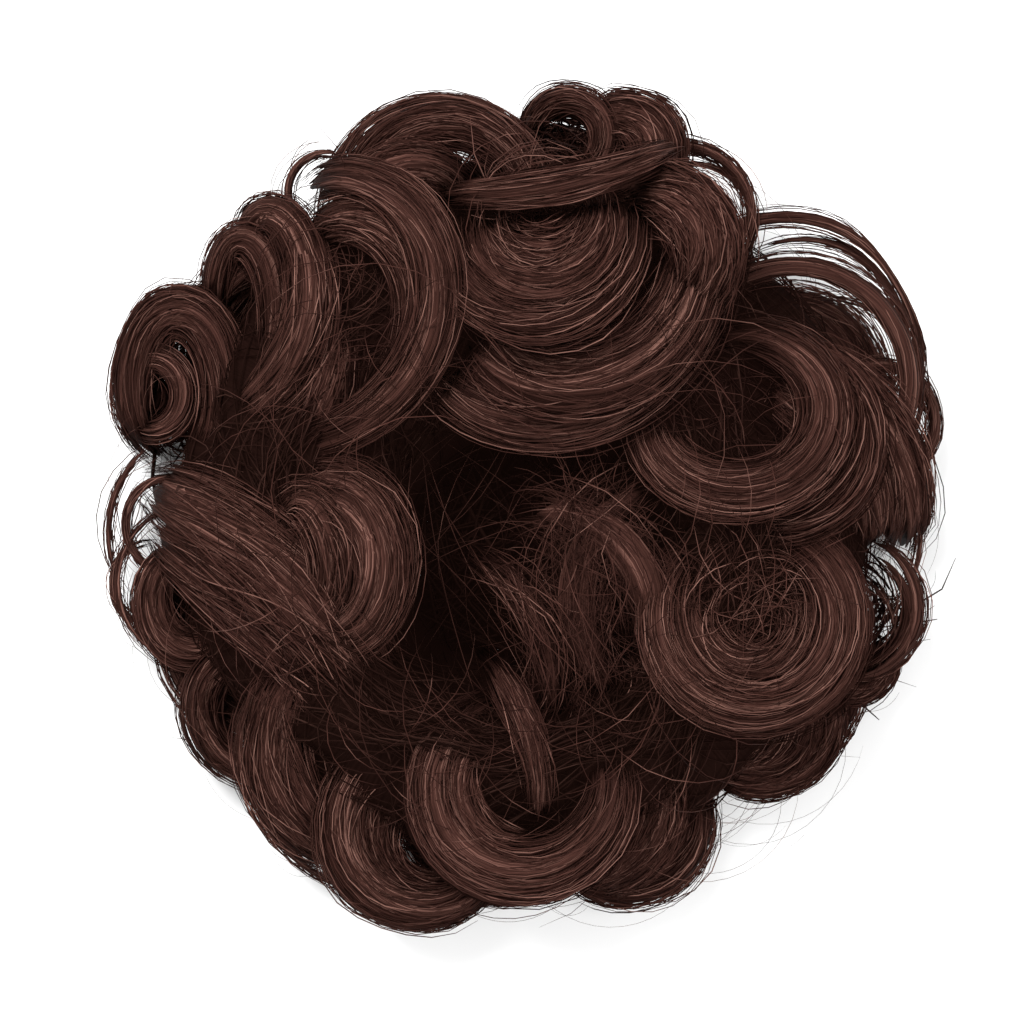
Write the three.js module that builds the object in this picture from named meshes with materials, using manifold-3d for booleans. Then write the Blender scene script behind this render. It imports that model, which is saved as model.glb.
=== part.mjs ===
// A messy top knot hairpiece: curled locks rooted in a bed of short hair, round an elastic band that
// goes over the wearer's own bun. Millimetres, +Z up. It lies on its flat underside, and its origin is
// on that plane, under the middle of the hair.
import * as THREE from 'three';
import { mergeVertices } from 'three/addons/utils/BufferGeometryUtils.js';
import Module from 'manifold-3d';

const wasm = await Module();
wasm.setup();

// Overall sizes
const HAIR_RADIUS = 80; // from the middle to the outermost curls, seen from above
const HAIR_HEIGHT = 62; // from the underside to the top of the highest lock
const CLEARANCE = 0.3; // gap between pieces that touch

// The bed of short hair that carries the locks
const RIM_DEPTH = 14; // how far the outermost curls stand past the bed
const CROWN_DEPTH = 24; // how far the highest lock stands above the bed
const BED_RADIUS = HAIR_RADIUS - RIM_DEPTH;
const BED_HEIGHT = HAIR_HEIGHT - CROWN_DEPTH;
const BED_SIDES = 33;
const SWIRL_COUNT = 11; // bundles that the bed's hair is combed into
const SWIRL_DEPTH = 3.5; // how deep the dents between them are
const SWIRL_TURN = 70; // degrees that a bundle turns from the underside to the top

// The elastic band, and the flat track of sewn roots that lies on it
const BAND_RADIUS = 23; // to the middle of the elastic
const BAND_WIDTH = 5;
const BAND_HEIGHT = 4;
const BAND_LIFT = 0.4; // the elastic hangs a little clear of what the hair rests on
const TRACK_WIDTH = 9;
const TRACK_THICKNESS = 1.6;
const RING_SIDES = 28;
const BAND_SIDES = 6;

// The opening over the bun, which is wider at its mouth than at the elastic
const BUN_SHIFT = 8; // the opening lies this far towards -Y from the middle of the hair
const MOUTH_FLARE = 12; // how much further out the opening is at the top of the bed
const BUN_RADIUS = BAND_RADIUS - BAND_WIDTH / 2;

// A full lock
const LOCK_WIDTH = 12;
const LOCK_THICKNESS = 6.5;
const LOCK_SIDES = 6;
const WISP_SHARE = 0.45; // share of LOCK_WIDTH below which a lock is a thin loop with fewer sides
const WISP_SIDES = 4;
const TIP_SHARE = 0.45; // width left at a lock's two ends
const STEP_ANGLE = 40; // degrees of curl from one section to the next
const FEWEST_SECTIONS = 6;
const OPENING_POWER = 3; // how late a curl that grows opens out

// The low locks round the side
const RIM_LOCK_COUNT = 6;
const RIM_LOCK_TURN = 25; // degrees, the place of the first
const RIM_LOCK_SWEEP = 190;
const RIM_LOCK_PLACE_SHARE = 0.68; // from the middle of the hair, and below the size: shares of HAIR_RADIUS
const RIM_LOCK_SIZE_SHARE = 0.19;

// The bed's outer wall from the underside up: shares of BED_RADIUS and BED_HEIGHT.
const BED_WALL = [
  { out: 0.88, up: 0 },
  { out: 1, up: 0.16 },
  { out: 1, up: 0.52 },
  { out: 0.92, up: 0.82 },
  { out: 0.76, up: 1 },
];

// The locks, highest first: a lower lock makes room for those above it. x, y and radius are shares of
// HAIR_RADIUS, from the middle of the hair to the middle of the curl. grow is the radius at the end
// over that at the start, and tall is the curl's size along Y over its size along X. start and sweep
// are degrees, counterclockwise from +X. width is a share of LOCK_WIDTH. root, crown and tip are the
// heights of the lock's start, middle and end, as shares of HAIR_HEIGHT.
const LOCK_COLUMNS = ['name', 'x', 'y', 'radius', 'grow', 'tall', 'start', 'sweep', 'width', 'root', 'crown', 'tip'];
const LOCK_ROWS = [
  ['centre_strand', -0.06, 1.49, 0.76, 1, 1, 261, 43, 0.55, 0.66, 0.95, 0.62],
  ['centre_roll_inner', 0.04, 0.69, 0.14, 1, 1, 188, 185, 0.85, 0.72, 0.98, 0.74],
  ['centre_roll', 0.03, 0.68, 0.205, 1, 1.05, 188, 180, 0.75, 0.66, 0.93, 0.7],
  ['upper_right_fall', 0.27, 0.59, 0.15, 1, 1, 100, -150, 1, 0.6, 0.84, 0.6],
  ['under_roll', 0.09, 0.545, 0.23, 1.4, 1, 205, 175, 1, 0.56, 0.8, 0.64],
  ['under_roll_outer', 0.01, 0.51, 0.28, 1.69, 1, 205, 175, 0.9, 0.5, 0.72, 0.56],
  ['upper_left_curl', -0.45, 0.56, 0.22, 1.95, 1, 105, -212, 0.75, 0.56, 0.86, 0.5],
  ['upper_left_curl_inner', -0.42, 0.55, 0.13, 3.1, 1, 130, -237, 0.75, 0.52, 0.78, 0.42],
  ['right_upper_curl', 0.49, 0.23, 0.205, 1, 0.88, 160, 290, 0.75, 0.56, 0.8, 0.84],
  ['right_upper_curl_outer', 0.58, 0.17, 0.195, 1, 1, 230, 210, 0.7, 0.54, 0.72, 0.74],
  ['right_lower_curl', 0.53, -0.24, 0.205, 1, 1, 125, 310, 0.85, 0.54, 0.78, 0.6],
  ['right_lower_curl_inner', 0.52, -0.24, 0.13, 1, 1, 110, 290, 0.8, 0.5, 0.7, 0.56],
  ['left_bump', -0.46, -0.12, 0.13, 1, 1.35, 120, -205, 0.85, 0.52, 0.82, 0.5],
  ['left_bump_inner', -0.51, -0.12, 0.08, 1, 1.8, 140, -210, 0.6, 0.5, 0.76, 0.5],
  ['left_sweep', -1.22, -0.89, 1, 1, 1, 71, -42, 1, 0.34, 0.68, 0.5],
  ['left_under_sweep', -1.22, -0.89, 0.91, 1, 1, 68, -40, 0.95, 0.3, 0.58, 0.44],
  ['rim_fall', -0.82, 0.52, 0.33, 1, 1, 28, -88, 0.67, 0.52, 0.72, 0.46],
  ['rim_fall_inner', -0.82, 0.43, 0.39, 1, 1, 12, -60, 0.67, 0.5, 0.66, 0.44],
  ['rim_roll', -0.6, 0.51, 0.095, 1, 2, 140, -230, 0.65, 0.4, 0.64, 0.44],
  ['rim_roll_outer', -0.66, 0.48, 0.08, 1, 2, 190, -260, 0.55, 0.3, 0.54, 0.4],
  ['top_left_curl', -0.19, 0.73, 0.2, 1, 0.9, 200, -215, 0.7, 0.4, 0.58, 0.52],
  ['top_left_curl_inner', -0.25, 0.65, 0.15, 1, 1, 185, -150, 0.8, 0.42, 0.66, 0.44],
  ['top_curl', 0.21, 0.84, 0.105, 1, 1, 115, -205, 0.8, 0.36, 0.58, 0.54],
  ['top_curl_outer', 0.1, 0.885, 0.09, 1, 1, 175, -245, 0.5, 0.3, 0.46, 0.5],
  ['bottom_curl', 0, -0.63, 0.205, 1, 1, 118, 265, 0.85, 0.5, 0.66, 0.46],
  ['bottom_curl_inner', 0, -0.63, 0.15, 1, 1, 125, 160, 0.6, 0.56, 0.66, 0.56],
  ['inner_tress', -0.42, -0.66, 0.455, 1, 1, 41, -48, 0.6, 0.5, 0.68, 0.52],
  ['bottom_left_curl', -0.23, -0.74, 0.195, 1, 1, 85, 235, 0.8, 0.44, 0.4, 0.3],
  ['bottom_left_curl_inner', -0.22, -0.77, 0.13, 1, 1, 105, 200, 0.6, 0.4, 0.36, 0.3],
  ['bottom_right_fall', 0.04, -0.66, 0.195, 1, 1, 30, -130, 0.62, 0.46, 0.46, 0.28],
  ['bottom_right_sweep', 0.085, -0.66, 0.225, 1, 1, 25, -100, 0.86, 0.46, 0.4, 0.24],
  ['bottom_right_rim', 0.23, -0.71, 0.185, 1, 1, 18, -155, 0.67, 0.3, 0.22, 0.2],
  ['lower_left_fall', -0.28, -0.54, 0.31, 1, 1, 150, 95, 0.9, 0.5, 0.44, 0.22],
  ['lower_left_loop', -0.64, -0.46, 0.125, 1.5, 1, 75, 220, 0.57, 0.4, 0.24, 0.2],
  ['left_ringlet', -0.82, 0.29, 0.115, 1, 1.6, 235, -310, 0.7, 0.24, 0.42, 0.34],
  ['left_ringlet_inner', -0.885, 0.28, 0.08, 1, 1.1, 200, -320, 0.48, 0.2, 0.38, 0.3],
  ['left_ringlet_top', -0.8, 0.38, 0.095, 1, 1.15, 205, -170, 0.57, 0.2, 0.3, 0.34],
  ['left_low_curl', -0.79, -0.21, 0.1, 1, 1.2, 110, 240, 0.57, 0.3, 0.24, 0.26],
  ['right_inner_sweep', 0.39, -0.08, 0.44, 1, 1, 66, -66, 0.86, 0.6, 0.58, 0.3],
  ['right_outer_sweep', 0.42, -0.08, 0.5, 1, 1, 66, -66, 0.86, 0.46, 0.5, 0.24],
  ['right_second_arc', 0.63, 0.3, 0.28, 1, 1, 150, -210, 0.43, 0.46, 0.46, 0.34],
  ['right_low_curl', 0.56, -0.47, 0.175, 1, 1, 15, -140, 0.57, 0.3, 0.26, 0.34],
  ['right_low_curl_inner', 0.54, -0.48, 0.11, 1, 1, 20, -180, 0.67, 0.36, 0.34, 0.4],
  ['right_rim_curl', 0.77, -0.23, 0.16, 1, 1, 70, -165, 0.43, 0.34, 0.26, 0.2],
  ['right_rim_curl_inner', 0.79, -0.35, 0.075, 1, 1, 30, -160, 0.55, 0.24, 0.16, 0.2],
  ['right_long_arc', 0.62, 0.38, 0.32, 1, 1, 150, -210, 0.28, 0.4, 0.36, 0.26],
  ['right_edge_loop', 0.855, 0.22, 0.13, 1, 1, 150, -300, 0.28, 0.28, 0.2, 0.26],
  ['top_right_arc', 0.37, 0.7, 0.165, 1, 1, 170, -230, 0.22, 0.42, 0.42, 0.44],
  ['top_stray_arc', -0.2, 0.69, 0.29, 1, 1, 190, -190, 0.18, 0.3, 0.38, 0.42],
  ['left_stray_loop', -0.885, -0.17, 0.1, 1, 1, 95, 170, 0.14, 0.26, 0.2, 0.24],
];

/** Turns the rows of a table into records with named columns. */
function records(columns, rows) {
  return rows.map((row) => Object.fromEntries(columns.map((column, i) => [column, row[i]])));
}

/** The low locks: like curls, evenly placed round the side of the bed. */
function rimLocks() {
  const locks = [];
  for (let i = 0; i < RIM_LOCK_COUNT; i += 1) {
    const turn = RIM_LOCK_TURN + (360 * i) / RIM_LOCK_COUNT;
    const place = THREE.MathUtils.degToRad(turn);
    locks.push({
      name: `rim_lock_${i + 1}`,
      x: RIM_LOCK_PLACE_SHARE * Math.cos(place),
      y: RIM_LOCK_PLACE_SHARE * Math.sin(place),
      radius: RIM_LOCK_SIZE_SHARE,
      grow: 1,
      tall: 1,
      start: turn - RIM_LOCK_SWEEP / 2,
      sweep: RIM_LOCK_SWEEP,
      width: 1,
      root: 0.16,
      crown: 0.1,
      tip: 0.2,
    });
  }
  return locks;
}

/** The middle line of a lock: an arc in plan that opens out and rises and falls. */
class CurlLine extends THREE.Curve {
  constructor(lock) {
    super();
    this.lock = lock;
  }

  getPoint(t, target = new THREE.Vector3()) {
    const { x, y, radius, grow, tall, start, sweep, root, crown, tip } = this.lock;
    const turn = THREE.MathUtils.degToRad(start + sweep * t);
    const reach = HAIR_RADIUS * radius * (1 + (grow - 1) * t ** OPENING_POWER);
    const height = root * (1 - t) * (1 - 2 * t) + 4 * crown * t * (1 - t) + tip * t * (2 * t - 1);
    return target.set(
      HAIR_RADIUS * x + reach * Math.cos(turn),
      HAIR_RADIUS * y + reach * tall * Math.sin(turn),
      height * (HAIR_HEIGHT - LOCK_THICKNESS / 2),
    );
  }
}

/** Closed geometry through rings of points that all have the same number of points. */
function loft(rings) {
  const sides = rings[0].length;
  const corners = [];
  for (const ring of rings) {
    for (const point of ring) {
      corners.push(point.x, point.y, point.z);
    }
  }
  const faces = [];
  for (let i = 0; i + 1 < rings.length; i += 1) {
    for (let j = 0; j < sides; j += 1) {
      const a = i * sides + j;
      const b = i * sides + ((j + 1) % sides);
      faces.push(a, b, b + sides, a, b + sides, a + sides);
    }
  }
  const last = (rings.length - 1) * sides;
  for (let j = 1; j + 1 < sides; j += 1) {
    faces.push(0, j + 1, j);
    faces.push(last, last + j, last + j + 1);
  }
  const geometry = new THREE.BufferGeometry();
  geometry.setAttribute('position', new THREE.Float32BufferAttribute(corners, 3));
  geometry.setIndex(faces);
  return geometry;
}

/** A lock as a tapered, flattened tube along its line, grown on every side by a margin. */
function lockGeometry(lock, margin = 0) {
  const line = new CurlLine(lock);
  const sections = Math.max(FEWEST_SECTIONS, Math.ceil(Math.abs(lock.sweep) / STEP_ANGLE));
  const overrun = margin / line.getLength();
  const halfWidth = (LOCK_WIDTH * lock.width) / 2;
  const halfThickness = Math.min(halfWidth, LOCK_THICKNESS / 2);
  const sides = lock.width < WISP_SHARE ? WISP_SIDES : LOCK_SIDES;
  const up = new THREE.Vector3(0, 0, 1);
  const rings = [];
  for (let i = 0; i <= sections; i += 1) {
    const t = THREE.MathUtils.lerp(-overrun, 1 + overrun, i / sections);
    const fullness = TIP_SHARE + (1 - TIP_SHARE) * Math.sqrt(Math.sin((Math.PI * i) / sections) + 1e-9);
    const along = line.getTangent(THREE.MathUtils.clamp(t, 0, 1));
    const side = new THREE.Vector3().crossVectors(up, along).normalize();
    const above = new THREE.Vector3().crossVectors(along, side);
    const ring = [];
    for (let j = 0; j < sides; j += 1) {
      const angle = (2 * Math.PI * j) / sides;
      ring.push(
        line.getPoint(t)
          .addScaledVector(side, (halfWidth * fullness + margin) * Math.cos(angle))
          .addScaledVector(above, (halfThickness * fullness + margin) * Math.sin(angle)),
      );
    }
    rings.push(ring);
  }
  return loft(rings);
}

/** The bed before it is cut: a mound whose wall is combed into bundles that turn as they rise. */
function bedGeometry() {
  const rings = BED_WALL.map(({ out, up }) => {
    const ring = [];
    for (let i = 0; i < BED_SIDES; i += 1) {
      const angle = (2 * Math.PI * i) / BED_SIDES;
      const swirl = SWIRL_COUNT * (angle - THREE.MathUtils.degToRad(SWIRL_TURN) * up);
      const reach = out * BED_RADIUS - (SWIRL_DEPTH * (1 - Math.cos(swirl))) / 2;
      ring.push(new THREE.Vector3(reach * Math.cos(angle), reach * Math.sin(angle), up * BED_HEIGHT));
    }
    return ring;
  });
  return loft(rings);
}

/** A ring or disc turned round the opening from a profile of [out, up] points. */
function turned(profile, sides, shiftY = 0) {
  const geometry = new THREE.LatheGeometry(profile.map(([out, up]) => new THREE.Vector2(out, up)), sides);
  geometry.rotateX(Math.PI / 2);
  geometry.translate(0, shiftY, 0);
  return geometry;
}

/** A solid that can be cut, from closed geometry. */
function solid(geometry) {
  const bare = geometry.clone();
  bare.deleteAttribute('normal');
  bare.deleteAttribute('uv');
  const merged = mergeVertices(bare, 1e-4);
  const body = new wasm.Manifold(new wasm.Mesh({
    numProp: 3,
    vertProperties: new Float32Array(merged.attributes.position.array),
    triVerts: new Uint32Array(merged.index.array),
  }));
  return body;
}

/** The largest body of a solid: the crumbs that a cut leaves are dropped. */
function largest(body) {
  return body.decompose().reduce((a, b) => (b.volume() > a.volume() ? b : a));
}

/** Geometry of a solid, for its mesh. */
function geometryOf(body) {
  const { vertProperties, triVerts } = body.getMesh();
  const geometry = new THREE.BufferGeometry();
  geometry.setAttribute('position', new THREE.Float32BufferAttribute(vertProperties, 3));
  geometry.setIndex(Array.from(triVerts));
  return geometry;
}

/** A named mesh with a material of its own, placed at a point on the underside's plane. */
function piece(name, body, color, roughness, x = 0, y = 0) {
  const geometry = geometryOf(body);
  geometry.translate(-x, -y, 0);
  geometry.computeVertexNormals();
  const mesh = new THREE.Mesh(geometry, new THREE.MeshStandardMaterial({ color, roughness, metalness: 0 }));
  mesh.name = name;
  mesh.position.set(x, y, 0);
  return mesh;
}

/** The elastic's rounded section, grown by a margin. */
function bandProfile(margin = 0) {
  const out = BAND_WIDTH / 2 + margin;
  const up = BAND_HEIGHT / 2 + margin;
  const middle = BAND_LIFT + BAND_HEIGHT / 2;
  const profile = [];
  for (let i = 0; i <= BAND_SIDES; i += 1) {
    const angle = (2 * Math.PI * (i % BAND_SIDES)) / BAND_SIDES;
    profile.push([BAND_RADIUS + out * Math.cos(angle), middle + up * Math.sin(angle)]);
  }
  return profile;
}

/** The track's flat section, grown by a margin. It lies on the elastic and reaches out from it. */
function trackProfile(margin = 0) {
  const inner = BUN_RADIUS + BAND_WIDTH / 4 - margin;
  const outer = inner + TRACK_WIDTH + 2 * margin;
  const low = BAND_LIFT + BAND_HEIGHT + CLEARANCE - margin;
  const high = low + TRACK_THICKNESS + 2 * margin;
  return [[inner, low], [outer, low], [outer, high], [inner, high], [inner, low]];
}

const locks = [...records(LOCK_COLUMNS, LOCK_ROWS), ...rimLocks()];

let taken = null;
const hair = new THREE.Group();
for (const lock of locks) {
  const whole = solid(lockGeometry(lock));
  const body = taken ? largest(whole.subtract(taken)) : whole;
  hair.add(piece(lock.name, body, '#3b2822', 0.55, HAIR_RADIUS * lock.x, HAIR_RADIUS * lock.y));
  const room = solid(lockGeometry(lock, CLEARANCE));
  taken = taken ? taken.add(room) : room;
}

const bed = solid(bedGeometry());
const bunSpace = solid(turned([
  [0, -CLEARANCE],
  [BUN_RADIUS, -CLEARANCE],
  [BUN_RADIUS, BAND_LIFT + BAND_HEIGHT + TRACK_THICKNESS],
  [BUN_RADIUS + MOUTH_FLARE, BED_HEIGHT + CLEARANCE],
  [0, BED_HEIGHT + CLEARANCE],
], RING_SIDES, -BUN_SHIFT));
const bandRoom = solid(turned([
  [BUN_RADIUS - CLEARANCE, -CLEARANCE],
  [BAND_RADIUS + BAND_WIDTH / 2 + CLEARANCE, -CLEARANCE],
  [BAND_RADIUS + BAND_WIDTH / 2 + CLEARANCE, BAND_LIFT + BAND_HEIGHT + 2 * CLEARANCE],
  [BUN_RADIUS - CLEARANCE, BAND_LIFT + BAND_HEIGHT + 2 * CLEARANCE],
  [BUN_RADIUS - CLEARANCE, -CLEARANCE],
], RING_SIDES, -BUN_SHIFT));
const trackRoom = solid(turned(trackProfile(CLEARANCE), RING_SIDES, -BUN_SHIFT));
const underHair = largest(bed.subtract(bunSpace).subtract(bandRoom).subtract(trackRoom).subtract(taken));

const base = new THREE.Group();
base.add(piece('under_hair', underHair, '#241712', 0.7));
base.add(piece('weft_track', solid(turned(trackProfile(), RING_SIDES, -BUN_SHIFT)), '#1c130f', 0.8));
base.add(piece('elastic_band', solid(turned(bandProfile(), RING_SIDES, -BUN_SHIFT)), '#171314', 0.75));

const hairpiece = new THREE.Group();
hairpiece.name = 'top_knot_hairpiece';
hairpiece.add(base, hair);

const extent = new THREE.Box3().setFromObject(hairpiece);
const middle = extent.getCenter(new THREE.Vector3());
hairpiece.position.set(-middle.x, -middle.y, -extent.min.z);

export default hairpiece;
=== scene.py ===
"""A messy top knot hairpiece: curled brown locks in a bed of short hair round an elastic band.

The solids of the frame give every lock its place. Each one is dressed here with a bundle of separate
strands over a soft core, and the bed, the opening for the bun, the sewn track, the elastic and the
loose hairs round the rim are made in the same way. Sizes are in metres.
"""
import logging
import math
from dataclasses import dataclass, field
from enum import Enum

import bpy
import numpy as np
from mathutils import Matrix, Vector


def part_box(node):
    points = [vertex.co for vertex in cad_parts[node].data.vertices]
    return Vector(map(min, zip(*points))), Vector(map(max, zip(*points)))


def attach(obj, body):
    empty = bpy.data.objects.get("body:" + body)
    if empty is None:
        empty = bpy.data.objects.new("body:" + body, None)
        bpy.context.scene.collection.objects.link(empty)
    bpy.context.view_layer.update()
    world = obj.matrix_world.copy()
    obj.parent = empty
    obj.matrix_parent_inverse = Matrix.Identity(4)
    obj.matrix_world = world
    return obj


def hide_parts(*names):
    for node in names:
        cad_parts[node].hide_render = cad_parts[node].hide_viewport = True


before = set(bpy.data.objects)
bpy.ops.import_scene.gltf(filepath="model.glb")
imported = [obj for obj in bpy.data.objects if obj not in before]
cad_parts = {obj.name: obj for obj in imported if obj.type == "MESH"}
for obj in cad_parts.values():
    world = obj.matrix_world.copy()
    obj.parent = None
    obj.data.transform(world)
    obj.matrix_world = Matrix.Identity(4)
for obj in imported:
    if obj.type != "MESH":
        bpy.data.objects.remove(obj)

MM = 0.001
BAKE_MAP = "OFBake"
LOG = logging.getLogger("hairpiece")


class Slot(Enum):
    """Names for material slots; nothing in this script uses them."""

    HAIR = "hair"
    UNDER_HAIR = "under_hair"
    THREAD = "weft_thread"
    ELASTIC = "elastic"


class Build(Enum):
    """How a lock is made up."""

    FULL = "a bundle of strands over a soft core"
    LOOP = "a few strands and no core"


@dataclass(frozen=True)
class HairSizes:
    """The driving sizes of the hairpiece, as its solids have them."""

    hair_radius: float = 80 * MM
    hair_height: float = 62 * MM
    rim_depth: float = 14 * MM
    crown_depth: float = 24 * MM
    band_radius: float = 23 * MM
    band_width: float = 5 * MM
    band_height: float = 4 * MM
    band_lift: float = 0.4 * MM
    track_width: float = 9 * MM
    track_thickness: float = 1.6 * MM
    bun_shift: float = 8 * MM
    mouth_flare: float = 12 * MM
    lock_width: float = 12 * MM
    lock_thickness: float = 6.5 * MM
    tip_share: float = 0.45
    clearance: float = 0.3 * MM
    opening_power: int = 3
    swirl_count: int = 11
    swirl_depth: float = 3.5 * MM
    swirl_turn: float = math.radians(70)

    @property
    def bed_radius(self) -> float:
        """Radius of the bed of short hair."""
        return self.hair_radius - self.rim_depth

    @property
    def bed_height(self) -> float:
        """Height of the bed of short hair."""
        return self.hair_height - self.crown_depth

    @property
    def bun_radius(self) -> float:
        """Radius of the opening inside the elastic."""
        return self.band_radius - self.band_width / 2


SIZES = HairSizes()

# The bed's outer wall from the underside up: shares of the bed's radius and of its height.
BED_WALL = ((0.88, 0.0), (1.0, 0.16), (1.0, 0.52), (0.92, 0.82), (0.76, 1.0))


@dataclass(frozen=True)
class Lock:
    """One lock's place, in the shares and degrees that its solid has."""

    name: str
    x: float
    y: float
    radius: float
    grow: float
    tall: float
    start: float
    sweep: float
    width: float
    root: float
    crown: float
    tip: float

    @property
    def build(self) -> Build:
        """Thin locks are loops of a few strands."""
        return Build.LOOP if self.width < 0.45 else Build.FULL

    def line(self, t: np.ndarray) -> np.ndarray:
        """Points on the lock's middle line.

        Args:
            t: Places along the lock, 0 at its root and 1 at its tip, of any shape.

        Returns:
            Points in the solids' own frame, with one more axis of three.
        """
        turn = np.radians(self.start + self.sweep * t)
        late = np.sign(t) * np.abs(t) ** SIZES.opening_power
        reach = SIZES.hair_radius * self.radius * (1 + (self.grow - 1) * late)
        height = self.root * (1 - t) * (1 - 2 * t) + 4 * self.crown * t * (1 - t) + self.tip * t * (2 * t - 1)
        return np.stack([
            SIZES.hair_radius * self.x + reach * np.cos(turn),
            SIZES.hair_radius * self.y + reach * self.tall * np.sin(turn),
            height * (SIZES.hair_height - SIZES.lock_thickness / 2),
        ], axis=-1)

    def axes(self, t: np.ndarray) -> tuple[np.ndarray, np.ndarray]:
        """The lock's own directions.

        Args:
            t: Places along the lock.

        Returns:
            Unit vectors across the lock in plan, and out of its upper face.
        """
        step = 1e-3
        along = unit(self.line(t + step) - self.line(t - step))
        across = unit(np.cross(np.array([0.0, 0.0, 1.0]), along))
        return across, np.cross(along, across)

    def length(self) -> float:
        """Length of the middle line."""
        points = self.line(np.linspace(0, 1, 60))
        return float(np.linalg.norm(np.diff(points, axis=0), axis=1).sum())


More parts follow.
